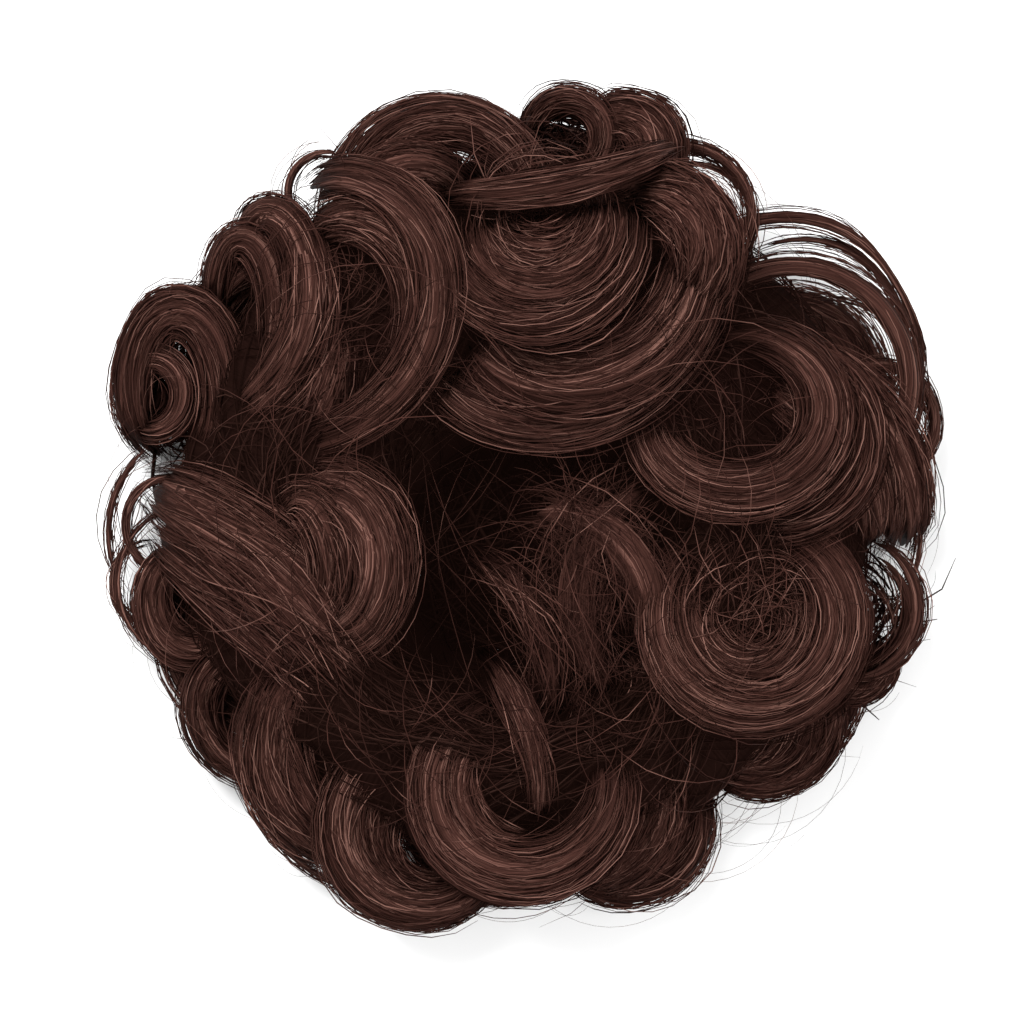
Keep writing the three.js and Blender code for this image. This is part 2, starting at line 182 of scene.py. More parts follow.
# The locks, highest first, with the columns of Lock.
LOCKS = tuple(Lock(*row) for row in (
    ("centre_strand", -0.06, 1.49, 0.76, 1, 1, 261, 43, 0.55, 0.66, 0.95, 0.62),
    ("centre_roll_inner", 0.04, 0.69, 0.14, 1, 1, 188, 185, 0.85, 0.72, 0.98, 0.74),
    ("centre_roll", 0.03, 0.68, 0.205, 1, 1.05, 188, 180, 0.75, 0.66, 0.93, 0.7),
    ("upper_right_fall", 0.27, 0.59, 0.15, 1, 1, 100, -150, 1, 0.6, 0.84, 0.6),
    ("under_roll", 0.09, 0.545, 0.23, 1.4, 1, 205, 175, 1, 0.56, 0.8, 0.64),
    ("under_roll_outer", 0.01, 0.51, 0.28, 1.69, 1, 205, 175, 0.9, 0.5, 0.72, 0.56),
    ("upper_left_curl", -0.45, 0.56, 0.22, 1.95, 1, 105, -212, 0.75, 0.56, 0.86, 0.5),
    ("upper_left_curl_inner", -0.42, 0.55, 0.13, 3.1, 1, 130, -237, 0.75, 0.52, 0.78, 0.42),
    ("right_upper_curl", 0.49, 0.23, 0.205, 1, 0.88, 160, 290, 0.75, 0.56, 0.8, 0.84),
    ("right_upper_curl_outer", 0.58, 0.17, 0.195, 1, 1, 230, 210, 0.7, 0.54, 0.72, 0.74),
    ("right_lower_curl", 0.53, -0.24, 0.205, 1, 1, 125, 310, 0.85, 0.54, 0.78, 0.6),
    ("right_lower_curl_inner", 0.52, -0.24, 0.13, 1, 1, 110, 290, 0.8, 0.5, 0.7, 0.56),
    ("left_bump", -0.46, -0.12, 0.13, 1, 1.35, 120, -205, 0.85, 0.52, 0.82, 0.5),
    ("left_bump_inner", -0.51, -0.12, 0.08, 1, 1.8, 140, -210, 0.6, 0.5, 0.76, 0.5),
    ("left_sweep", -1.22, -0.89, 1, 1, 1, 71, -42, 1, 0.34, 0.68, 0.5),
    ("left_under_sweep", -1.22, -0.89, 0.91, 1, 1, 68, -40, 0.95, 0.3, 0.58, 0.44),
    ("rim_fall", -0.82, 0.52, 0.33, 1, 1, 28, -88, 0.67, 0.52, 0.72, 0.46),
    ("rim_fall_inner", -0.82, 0.43, 0.39, 1, 1, 12, -60, 0.67, 0.5, 0.66, 0.44),
    ("rim_roll", -0.6, 0.51, 0.095, 1, 2, 140, -230, 0.65, 0.4, 0.64, 0.44),
    ("rim_roll_outer", -0.66, 0.48, 0.08, 1, 2, 190, -260, 0.55, 0.3, 0.54, 0.4),
    ("top_left_curl", -0.19, 0.73, 0.2, 1, 0.9, 200, -215, 0.7, 0.4, 0.58, 0.52),
    ("top_left_curl_inner", -0.25, 0.65, 0.15, 1, 1, 185, -150, 0.8, 0.42, 0.66, 0.44),
    ("top_curl", 0.21, 0.84, 0.105, 1, 1, 115, -205, 0.8, 0.36, 0.58, 0.54),
    ("top_curl_outer", 0.1, 0.885, 0.09, 1, 1, 175, -245, 0.5, 0.3, 0.46, 0.5),
    ("bottom_curl", 0, -0.63, 0.205, 1, 1, 118, 265, 0.85, 0.5, 0.66, 0.46),
    ("bottom_curl_inner", 0, -0.63, 0.15, 1, 1, 125, 160, 0.6, 0.56, 0.66, 0.56),
    ("inner_tress", -0.42, -0.66, 0.455, 1, 1, 41, -48, 0.6, 0.5, 0.68, 0.52),
    ("bottom_left_curl", -0.23, -0.74, 0.195, 1, 1, 85, 235, 0.8, 0.44, 0.4, 0.3),
    ("bottom_left_curl_inner", -0.22, -0.77, 0.13, 1, 1, 105, 200, 0.6, 0.4, 0.36, 0.3),
    ("bottom_right_fall", 0.04, -0.66, 0.195, 1, 1, 30, -130, 0.62, 0.46, 0.46, 0.28),
    ("bottom_right_sweep", 0.085, -0.66, 0.225, 1, 1, 25, -100, 0.86, 0.46, 0.4, 0.24),
    ("bottom_right_rim", 0.23, -0.71, 0.185, 1, 1, 18, -155, 0.67, 0.3, 0.22, 0.2),
    ("lower_left_fall", -0.28, -0.54, 0.31, 1, 1, 150, 95, 0.9, 0.5, 0.44, 0.22),
    ("lower_left_loop", -0.64, -0.46, 0.125, 1.5, 1, 75, 220, 0.57, 0.4, 0.24, 0.2),
    ("left_ringlet", -0.82, 0.29, 0.115, 1, 1.6, 235, -310, 0.7, 0.24, 0.42, 0.34),
    ("left_ringlet_inner", -0.885, 0.28, 0.08, 1, 1.1, 200, -320, 0.48, 0.2, 0.38, 0.3),
    ("left_ringlet_top", -0.8, 0.38, 0.095, 1, 1.15, 205, -170, 0.57, 0.2, 0.3, 0.34),
    ("left_low_curl", -0.79, -0.21, 0.1, 1, 1.2, 110, 240, 0.57, 0.3, 0.24, 0.26),
    ("right_inner_sweep", 0.39, -0.08, 0.44, 1, 1, 66, -66, 0.86, 0.6, 0.58, 0.3),
    ("right_outer_sweep", 0.42, -0.08, 0.5, 1, 1, 66, -66, 0.86, 0.46, 0.5, 0.24),
    ("right_second_arc", 0.63, 0.3, 0.28, 1, 1, 150, -210, 0.43, 0.46, 0.46, 0.34),
    ("right_low_curl", 0.56, -0.47, 0.175, 1, 1, 15, -140, 0.57, 0.3, 0.26, 0.34),
    ("right_low_curl_inner", 0.54, -0.48, 0.11, 1, 1, 20, -180, 0.67, 0.36, 0.34, 0.4),
    ("right_rim_curl", 0.77, -0.23, 0.16, 1, 1, 70, -165, 0.43, 0.34, 0.26, 0.2),
    ("right_rim_curl_inner", 0.79, -0.35, 0.075, 1, 1, 30, -160, 0.55, 0.24, 0.16, 0.2),
    ("right_long_arc", 0.62, 0.38, 0.32, 1, 1, 150, -210, 0.28, 0.4, 0.36, 0.26),
    ("right_edge_loop", 0.855, 0.22, 0.13, 1, 1, 150, -300, 0.28, 0.28, 0.2, 0.26),
    ("top_right_arc", 0.37, 0.7, 0.165, 1, 1, 170, -230, 0.22, 0.42, 0.42, 0.44),
    ("top_stray_arc", -0.2, 0.69, 0.29, 1, 1, 190, -190, 0.18, 0.3, 0.38, 0.42),
    ("left_stray_loop", -0.885, -0.17, 0.1, 1, 1, 95, 170, 0.14, 0.26, 0.2, 0.24),
))


def unit(vectors: np.ndarray) -> np.ndarray:
    """Vectors of length one.

    Args:
        vectors: An array whose last axis is three.

    Returns:
        The same directions at length one.
    """
    return vectors / np.maximum(np.linalg.norm(vectors, axis=-1, keepdims=True), 1e-12)


def rim_locks() -> tuple[Lock, ...]:
    """The low locks, placed evenly round the side of the bed as their solids are.

    Returns:
        The locks, in the order of their nodes.
    """
    count, first, sweep, place, size = 6, 25, 190, 0.68, 0.19
    locks = []
    for i in range(count):
        turn = first + 360 * i / count
        angle = math.radians(turn)
        locks.append(Lock(f"rim_lock_{i + 1}", place * math.cos(angle), place * math.sin(angle), size,
                          1, 1, turn - sweep / 2, sweep, 1, 0.16, 0.1, 0.2))
    return tuple(locks)


def frame_shift() -> np.ndarray:
    """How far the frame's origin lies from the middle of the locks' own frame.

    Returns:
        The vector that moves a point of a lock's line into the frame.
    """
    low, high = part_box("elastic_band")
    middle = (low + high) / 2
    return np.array([middle.x, middle.y + SIZES.bun_shift, 0.0])


# Node groups and finishes


def new_group(name: str, inputs: dict[str, float], outputs: tuple[str, ...]) -> bpy.types.ShaderNodeTree:
    """A shader node group with named sockets and its two ends in place.

    Args:
        name: The group's name.
        inputs: Value inputs and what they start at.
        outputs: Value outputs.

    Returns:
        The group, with nodes named Inputs and Outputs.
    """
    tree = bpy.data.node_groups.new(name, "ShaderNodeTree")
    for label, value in inputs.items():
        tree.interface.new_socket(label, in_out="INPUT", socket_type="NodeSocketFloat").default_value = value
    for label in outputs:
        tree.interface.new_socket(label, in_out="OUTPUT", socket_type="NodeSocketFloat")
    tree.nodes.new("NodeGroupInput").name = "Inputs"
    tree.nodes.new("NodeGroupOutput").name = "Outputs"
    return tree


def maths(tree: bpy.types.ShaderNodeTree, operation: str, first: object, second: object,
          clamp: bool = False) -> bpy.types.NodeSocket:
    """One Math node.

    Args:
        tree: Where the node goes.
        operation: What it does.
        first: A socket or a number.
        second: A socket or a number.
        clamp: Whether the result is kept from 0 to 1.

    Returns:
        The result's socket.
    """
    node = tree.nodes.new("ShaderNodeMath")
    node.operation = operation
    node.use_clamp = clamp
    for socket, value in zip(node.inputs, (first, second)):
        if isinstance(value, bpy.types.NodeSocket):
            tree.links.new(value, socket)
        else:
            socket.default_value = value
    return node.outputs[0]


def strand_grain() -> bpy.types.ShaderNodeTree:
    """The grain of hair: fine streaks that run along it, broader clumps, and the painted shade of its layers.

    The grain attribute holds millimetres across the hair, millimetres along it, and the painted shade, with
    random tone in it.

    Returns:
        The group, made once.
    """
    name = "Strand grain"
    if name in bpy.data.node_groups:
        return bpy.data.node_groups[name]
    starts = {"Fineness": 3.0, "Stretch": 0.03, "Contrast": 1.8, "Clumps": 0.45}
    tree = new_group(name, starts, ("Tone", "Relief"))
    ends = tree.nodes["Inputs"].outputs
    grain = tree.nodes.new("ShaderNodeAttribute")
    grain.attribute_name = "grain"
    parts = tree.nodes.new("ShaderNodeSeparateXYZ")
    tree.links.new(grain.outputs["Vector"], parts.inputs[0])
    along = maths(tree, "MULTIPLY", parts.outputs[1], ends["Stretch"])
    noises = []
    for fineness in (ends["Fineness"], ends["Clumps"]):
        place = tree.nodes.new("ShaderNodeCombineXYZ")
        tree.links.new(maths(tree, "MULTIPLY", parts.outputs[0], fineness), place.inputs[0])
        tree.links.new(along, place.inputs[1])
        noise = tree.nodes.new("ShaderNodeTexNoise")
        noise.inputs["Scale"].default_value = 1.0
        noise.inputs["Detail"].default_value = 3.0
        noise.inputs["Roughness"].default_value = 0.65
        tree.links.new(place.outputs[0], noise.inputs["Vector"])
        noises.append(noise.outputs[0])
    streaks, clumps = noises
    centred = maths(tree, "SUBTRACT", streaks, 0.5)
    fine = maths(tree, "ADD", maths(tree, "MULTIPLY", centred, ends["Contrast"]), 0.5, clamp=True)
    broad = maths(tree, "ADD", clumps, 0.45)
    # Painted shade: the tone is darkened by the shade that the grain attribute carries.
    tone = maths(tree, "MULTIPLY", maths(tree, "MULTIPLY", fine, broad), parts.outputs[2], clamp=True)
    tree.links.new(tone, tree.nodes["Outputs"].inputs["Tone"])
    tree.links.new(streaks, tree.nodes["Outputs"].inputs["Relief"])
    return tree


def knit_ribs() -> bpy.types.ShaderNodeTree:
    """The fine ribs of a knitted cover or a sewn tape.

    Returns:
        The group, made once.
    """
    name = "Knit ribs"
    if name in bpy.data.node_groups:
        return bpy.data.node_groups[name]
    tree = new_group(name, {"Rib scale": 900.0, "Fuzz scale": 2500.0}, ("Tone", "Relief"))
    ends = tree.nodes["Inputs"].outputs
    place = tree.nodes.new("ShaderNodeTexCoord")
    ribs = tree.nodes.new("ShaderNodeTexWave")
    ribs.inputs["Distortion"].default_value = 2.0
    tree.links.new(place.outputs["Object"], ribs.inputs["Vector"])
    tree.links.new(ends["Rib scale"], ribs.inputs["Scale"])
    fuzz = tree.nodes.new("ShaderNodeTexNoise")
    tree.links.new(place.outputs["Object"], fuzz.inputs["Vector"])
    tree.links.new(ends["Fuzz scale"], fuzz.inputs["Scale"])
    relief = maths(tree, "ADD", maths(tree, "MULTIPLY", ribs.outputs["Fac"], 0.6),
                   maths(tree, "MULTIPLY", fuzz.outputs[0], 0.4))
    tree.links.new(relief, tree.nodes["Outputs"].inputs["Relief"])
    tree.links.new(maths(tree, "MULTIPLY", relief, fuzz.outputs[0]), tree.nodes["Outputs"].inputs["Tone"])
    return tree


@dataclass(frozen=True)
class FibreFinish:
    """A finish of fibres: a run of colours by tone, a roughness that varies with it, and fine relief.

    A low ior keeps steep sides from mirroring the floor. The glow is painted light: a faint emission that
    stands in for the light that fibres scatter to each other.
    """

    name: str
    colours: tuple[tuple[float, float, float], ...]
    roughness: tuple[float, float]
    group: str
    values: dict[str, float] = field(default_factory=dict)
    bump: float = 0.25
    bump_depth: float = 0.1 * MM
    specular: float = 0.5
    sheen: float = 0.0
    ior: float = 1.45
    painted_glow: tuple[float, float, float] = (0.0, 0.0, 0.0)

    def material(self) -> bpy.types.Material:
        """The finish as a node material, made once.

        Returns:
            The material.
        """
        if self.name in bpy.data.materials:
            return bpy.data.materials[self.name]
        material = bpy.data.materials.new(self.name)
        material.use_nodes = True
        tree = material.node_tree
        shader = tree.nodes["Principled BSDF"]
        shader.inputs["Specular IOR Level"].default_value = self.specular
        shader.inputs["Sheen Weight"].default_value = self.sheen
        shader.inputs["IOR"].default_value = self.ior
        # Painted light: the glow makes the hair emit a little light, though it is no lamp.
        shader.inputs["Emission Color"].default_value = (*self.painted_glow, 1.0)
        shader.inputs["Emission Strength"].default_value = 1.0 if any(self.painted_glow) else 0.0
        effect = tree.nodes.new("ShaderNodeGroup")
        effect.node_tree = strand_grain() if self.group == "strands" else knit_ribs()
        for label, value in self.values.items():
            effect.inputs[label].default_value = value
        ramp = tree.nodes.new("ShaderNodeValToRGB")
        while len(ramp.color_ramp.elements) < len(self.colours):
            ramp.color_ramp.elements.new(0.5)
        for i, colour in enumerate(self.colours):
            ramp.color_ramp.elements[i].position = i / (len(self.colours) - 1)
            ramp.color_ramp.elements[i].color = (*colour, 1.0)
        tree.links.new(effect.outputs["Tone"], ramp.inputs[0])
        tree.links.new(ramp.outputs[0], shader.inputs["Base Color"])
        rough = tree.nodes.new("ShaderNodeMapRange")
        rough.inputs["To Min"].default_value = self.roughness[0]
        rough.inputs["To Max"].default_value = self.roughness[1]
        tree.links.new(effect.outputs["Relief"], rough.inputs["Value"])
        tree.links.new(rough.outputs[0], shader.inputs["Roughness"])
        bump = tree.nodes.new("ShaderNodeBump")
        bump.inputs["Strength"].default_value = self.bump
        bump.inputs["Distance"].default_value = self.bump_depth
        tree.links.new(effect.outputs["Relief"], bump.inputs["Height"])
        tree.links.new(bump.outputs[0], shader.inputs["Normal"])
        return material


LOCK_HAIR = FibreFinish(
    "lock_hair", ((0.007, 0.0027, 0.0021), (0.05, 0.0205, 0.0158), (0.21, 0.106, 0.083)), (0.42, 0.6),
    "strands", {"Fineness": 4.4, "Stretch": 0.03, "Contrast": 2.7, "Clumps": 0.6},
    bump=1.0, specular=0.03, ior=1.2)
# Painted shade: the bed's hair is the locks' hair in darker colours, for the shade under and between the
# locks.
SHADED_BED_HAIR = FibreFinish(
    "bed_hair_painted_shade", ((0.0036, 0.0014, 0.0011), (0.013, 0.0055, 0.0043), (0.048, 0.023, 0.018)), (0.55, 0.7),
    "strands", {"Fineness": 3.0, "Stretch": 0.03, "Contrast": 2.6, "Clumps": 0.5},
    bump=0.8, specular=0.02, ior=1.1, painted_glow=(0.0034, 0.0014, 0.001))
SEWN_THREAD = FibreFinish(
    "sewn_thread", ((0.008, 0.006, 0.005), (0.035, 0.025, 0.02)), (0.7, 0.9), "knit",
    {"Rib scale": 700.0, "Fuzz scale": 3000.0}, sheen=0.2)
KNIT_ELASTIC = FibreFinish(
    "knit_elastic", ((0.006, 0.006, 0.006), (0.04, 0.037, 0.036)), (0.65, 0.85), "knit",
    {"Rib scale": 500.0, "Fuzz scale": 2600.0}, bump=0.5, sheen=0.2)


# Meshes


def map_quads(left: np.ndarray, right: np.ndarray, low: np.ndarray, high: np.ndarray) -> np.ndarray:
    """Corners of quads in a map.

    Args:
        left: Left edges.
        right: Right edges.
        low: Lower edges.
        high: Upper edges.

    Returns:
        The corners in turn, quads by 4 by 2.
    """
    left, right, low, high = np.broadcast_arrays(left, right, low, high)
    return np.stack([left, low, right, low, right, high, left, high], -1).reshape(-1, 4, 2)


class FibreMesh:
    """Collects strands and skins, and joins them into one mesh with a grain attribute and a bake map."""

    SIDES = 3

    def __init__(self) -> None:
        """Starts empty."""
        self.points: list[np.ndarray] = []
        self.faces: list[np.ndarray] = []
        self.grain: list[np.ndarray] = []
        self.maps: list[tuple[int, np.ndarray]] = []
        self.count = 0

    def _keep(self, points: np.ndarray, faces: np.ndarray, grain: np.ndarray, chart: np.ndarray) -> None:
        """Adds vertices, faces padded to four corners, their grain and their place in a strip of the map.

        Args:
            points: Vertices, n by 3.
            faces: Corner numbers, m by 4, with -1 in the last column of a triangle.
            grain: Grain vectors, n by 3.
            chart: Place in the part's own map for each corner of each face, m by 4 by 2.
        """
        self.points.append(points)
        self.faces.append(np.where(faces >= 0, faces + self.count, -1))
        self.grain.append(grain)
        self.maps.append((len(faces), chart))
        self.count += len(points)

    def strands(self, paths: np.ndarray, thickness: np.ndarray, shade: np.ndarray) -> None:
        """Adds strands as thin closed tubes that narrow to their ends.

        Args:
            paths: Points of each strand, strands by points by 3.
            thickness: Thickness of each strand.
            shade: Shade of each strand or of each of its points, 1 for the lit outside and less inside.
        """
        strands, steps = paths.shape[:2]
        sides = self.SIDES
        along = unit(np.gradient(paths, axis=1))
        across = np.zeros_like(paths)
        lean = np.cross(along[:, 0], np.array([0.31, 0.17, 0.93]))
        for i in range(steps):
            lean = unit(lean - along[:, i] * (lean * along[:, i]).sum(-1, keepdims=True))
            across[:, i] = lean
        above = np.cross(along, across)
        place = np.linspace(0, 1, steps)
        body = 0.3 + 0.7 * np.clip(np.minimum(place, 1 - place) * 6, 0, 1)
        radius = 0.5 * thickness[:, None, None, None] * body[None, :, None, None]
        turn = 2 * math.pi * np.arange(sides) / sides
        ring = (across[:, :, None, :] * np.cos(turn)[:, None] + above[:, :, None, :] * np.sin(turn)[:, None])
        points = (paths[:, :, None, :] + ring * radius).reshape(-1, 3)
        first = np.arange(strands)[:, None, None] * (steps * sides)
        step = np.arange(steps - 1)[None, :, None] * sides
        side = np.arange(sides)[None, None, :]
        after = (side + 1) % sides
        low, high = first + step + side, first + step + after
        walls = np.stack([low, high, high + sides, low + sides], -1).reshape(-1, 4)
        base = np.arange(strands) * steps * sides
        end = base + (steps - 1) * sides
        caps = np.concatenate([
            np.stack([base, base + 2, base + 1, np.full_like(base, -1)], -1),
            np.stack([end, end + 1, end + 2, np.full_like(base, -1)], -1),
        ])
        grain = np.empty((strands, steps, sides, 3))
        grain[..., 0] = (37.7 * np.arange(strands) + 11.3 * self.count % 997)[:, None, None]
        grain[..., 1] = 60 * place[None, :, None]
        grain[..., 2] = shade.reshape(strands, -1)[:, :, None]
        self._keep(points, np.concatenate([walls, caps]), grain.reshape(-1, 3),
                   self._strand_chart(strands, steps))

    def _strand_chart(self, strands: int, steps: int) -> np.ndarray:
        """Places for strands in the map: rows of upright strips, one strip to a strand.

        Args:
            strands: How many strands there are.
            steps: How many points each has.

        Returns:
            The place of each corner, walls first and then both rows of caps.
        """
        rows = max(1, round(math.sqrt(strands / 12)))
        columns = math.ceil(strands / rows)
        number = np.arange(strands)
        left = (number % columns) / columns
        foot = (number // columns) / rows
        wide, tall = 0.8 / columns, 0.9 / rows
        side = np.arange(self.SIDES)[None, None, :]
        step = np.arange(steps - 1)[None, :, None]
        walls = map_quads(left[:, None, None] + wide * side / self.SIDES,
                          left[:, None, None] + wide * (side + 1) / self.SIDES,
                          foot[:, None, None] + tall * step / (steps - 1),
                          foot[:, None, None] + tall * (step + 1) / (steps - 1))
        corner = np.array([[0.0, 0.0], [0.5, 0.0], [0.0, 1.0], [0.0, 0.0]])
        caps = []
        for level in (-0.05, 0.95):
            spot = np.stack([left, foot + 0.05 * tall + level * tall], -1)
            caps.append(spot[:, None, :] + corner[None] * np.array([wide, 0.03 * tall]))
        return np.concatenate([walls, *caps])

    def skin(self, rings: np.ndarray, shade: np.ndarray | float, closed: bool = False) -> None:
        """Adds a skin through rings of points, with its grain in millimetres across and along.

        Args:
            rings: Points, rings by points by 3.
            shade: Shade of each point, rings by points, or one for all.
            closed: Whether the last ring joins the first. If not, flat fans close both ends.
        """
        count, sides = rings.shape[:2]
        spans = count if closed else count - 1
        ring = np.arange(spans)[:, None]
        side = np.arange(sides)[None, :]
        after, ahead = (side + 1) % sides, (ring + 1) % count
        walls = np.stack([ring * sides + side, ring * sides + after,
                          ahead * sides + after, ahead * sides + side], -1).reshape(-1, 4)
        chart = map_quads(side / sides, (side + 1) / sides, ring / spans, (ring + 1) / spans)
        middle = rings.mean(1)
        around = rings[count // 2]
        girth = np.linalg.norm(np.diff(around, axis=0, append=around[:1]), axis=-1).sum()
        reach = np.linalg.norm(np.diff(middle, axis=0, prepend=middle[:1]), axis=-1).cumsum()
        grain = np.empty((count, sides, 3))
        grain[..., 0] = girth / MM * np.arange(sides)[None, :] / sides + 17.9 * len(self.points)
        grain[..., 1] = (reach / MM)[:, None]
        grain[..., 2] = shade
        grain = grain.reshape(-1, 3)
        points = rings.reshape(-1, 3)
        faces = walls
        if not closed:
            points = np.concatenate([points, middle[:1], middle[-1:]])
            grain = np.concatenate([grain, grain[:1], grain[-1:]])
            hub, last = count * sides, (count - 1) * sides
            span = np.arange(sides)
            round_on = (span + 1) % sides
            none = np.full(sides, -1)
            faces = np.concatenate([
                walls,
                np.stack([round_on, span, np.full(sides, hub), none], -1),
                np.stack([last + span, last + round_on, np.full(sides, hub + 1), none], -1),
            ])
            fan = np.zeros((2 * sides, 4, 2))
            fan[:, 1] = (0.01, 0.0)
            fan[:, 2] = (0.0, 0.01)
            chart = np.concatenate([chart, fan])
        self._keep(points, faces, grain, chart)

    def piece(self, name: str, finish: FibreFinish,
              nodes: tuple[str, ...] = ()) -> bpy.types.Object:
        """Joins what was added into one object that rides on the root.

        Args:
            name: The piece's name.
            finish: Its finish.
            nodes: The solids that it stands for.

        Returns:
            The object.
        """
        points = np.concatenate(self.points) + frame_shift()
        faces = np.concatenate(self.faces)
        mesh = bpy.data.meshes.new(name)
        sizes = np.where(faces[:, 3] < 0, 3, 4)
        corners = faces[faces >= 0]
        mesh.vertices.add(len(points))
        mesh.vertices.foreach_set("co", points.ravel().astype(np.float32))
        mesh.loops.add(len(corners))
        mesh.loops.foreach_set("vertex_index", corners.astype(np.int32))
        mesh.polygons.add(len(faces))
        mesh.polygons.foreach_set("loop_start", np.concatenate([[0], np.cumsum(sizes)[:-1]]).astype(np.int32))
        mesh.polygons.foreach_set("loop_total", sizes.astype(np.int32))
        mesh.polygons.foreach_set("use_smooth", np.ones(len(faces), bool))
        mesh.update(calc_edges=True)
        mesh.attributes.new("grain", "FLOAT_VECTOR", "POINT")
        grain = np.concatenate(self.grain).ravel().astype(np.float32)
        mesh.attributes["grain"].data.foreach_set("vector", grain)
        self._lay_map(mesh, faces)
        mesh.materials.append(finish.material())
        made = bpy.data.objects.new(name, mesh)
        bpy.context.scene.collection.objects.link(made)
        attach(made, "root")
        if nodes:
            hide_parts(*nodes)
        LOG.info("%s: %d faces", name, len(faces))
        return made

    def _lay_map(self, mesh: bpy.types.Mesh, faces: np.ndarray) -> None:
        """Lays the parts' own maps beside each other in one bake map.

        Args:
            mesh: The mesh.
            faces: Its padded faces.
        """
        total = sum(count for count, _ in self.maps)
        left = 0.0
        charts = []
        for count, chart in self.maps:
            wide = count / total
            charts.append(chart * np.array([wide * 0.98, 0.98]) + np.array([left + wide * 0.01, 0.01]))
            left += wide
        places = np.concatenate(charts)[faces >= 0]
        layer = mesh.uv_layers.new(name=BAKE_MAP)
        layer.data.foreach_set("uv", places.ravel().astype(np.float32))


# The hair


def round_bun(reach: np.ndarray | float, turn: np.ndarray, height: np.ndarray | float,
              share: np.ndarray | float = 1.0) -> np.ndarray:
    """Points round the middle of the opening for the bun.

    Args:
        reach: Distances from its middle.
        turn: Angles round it.
        height: Heights.
        share: How much of the opening's shift off the hairpiece's middle applies.

    Returns:
        The points.
    """
    x, y = reach * np.cos(turn), reach * np.sin(turn) - SIZES.bun_shift * share
    return np.stack(np.broadcast_arrays(x, y, height), -1)


def above_floor(paths: np.ndarray, lowest: float = 0.3 * MM) -> np.ndarray:
    """Keeps hair from going below the plane that it rests on, and from standing out too far.

    Args:
        paths: Points.
        lowest: The lowest that a point may lie.

    Returns:
        The points, with the low ones lifted and the far ones drawn in.
    """
    out = np.maximum(np.hypot(paths[..., 0], paths[..., 1]), 1e-9)
    room = 4 * MM
    past = np.maximum(out - SIZES.hair_radius, 0)
    draw = (out - past + room * np.tanh(past / room)) / out
    return np.concatenate([paths[..., :2] * draw[..., None], np.maximum(paths[..., 2:], lowest)], axis=-1)


def out_of_opening(points: np.ndarray) -> np.ndarray:
    """Pushes points out of the opening for the bun, to its wall.

    Args:
        points: Points.

    Returns:
        The points, none of them inside the wall.
    """
    out = np.hypot(points[..., 0], points[..., 1] + SIZES.bun_shift)
    wall = SIZES.bun_radius + SIZES.mouth_flare * np.clip(points[..., 2] / SIZES.bed_height, 0, 1)
    push = np.maximum(1, wall / np.maximum(out, 1e-9))
    return np.stack([points[..., 0] * push, (points[..., 1] + SIZES.bun_shift) * push - SIZES.bun_shift,
                     points[..., 2]], -1)


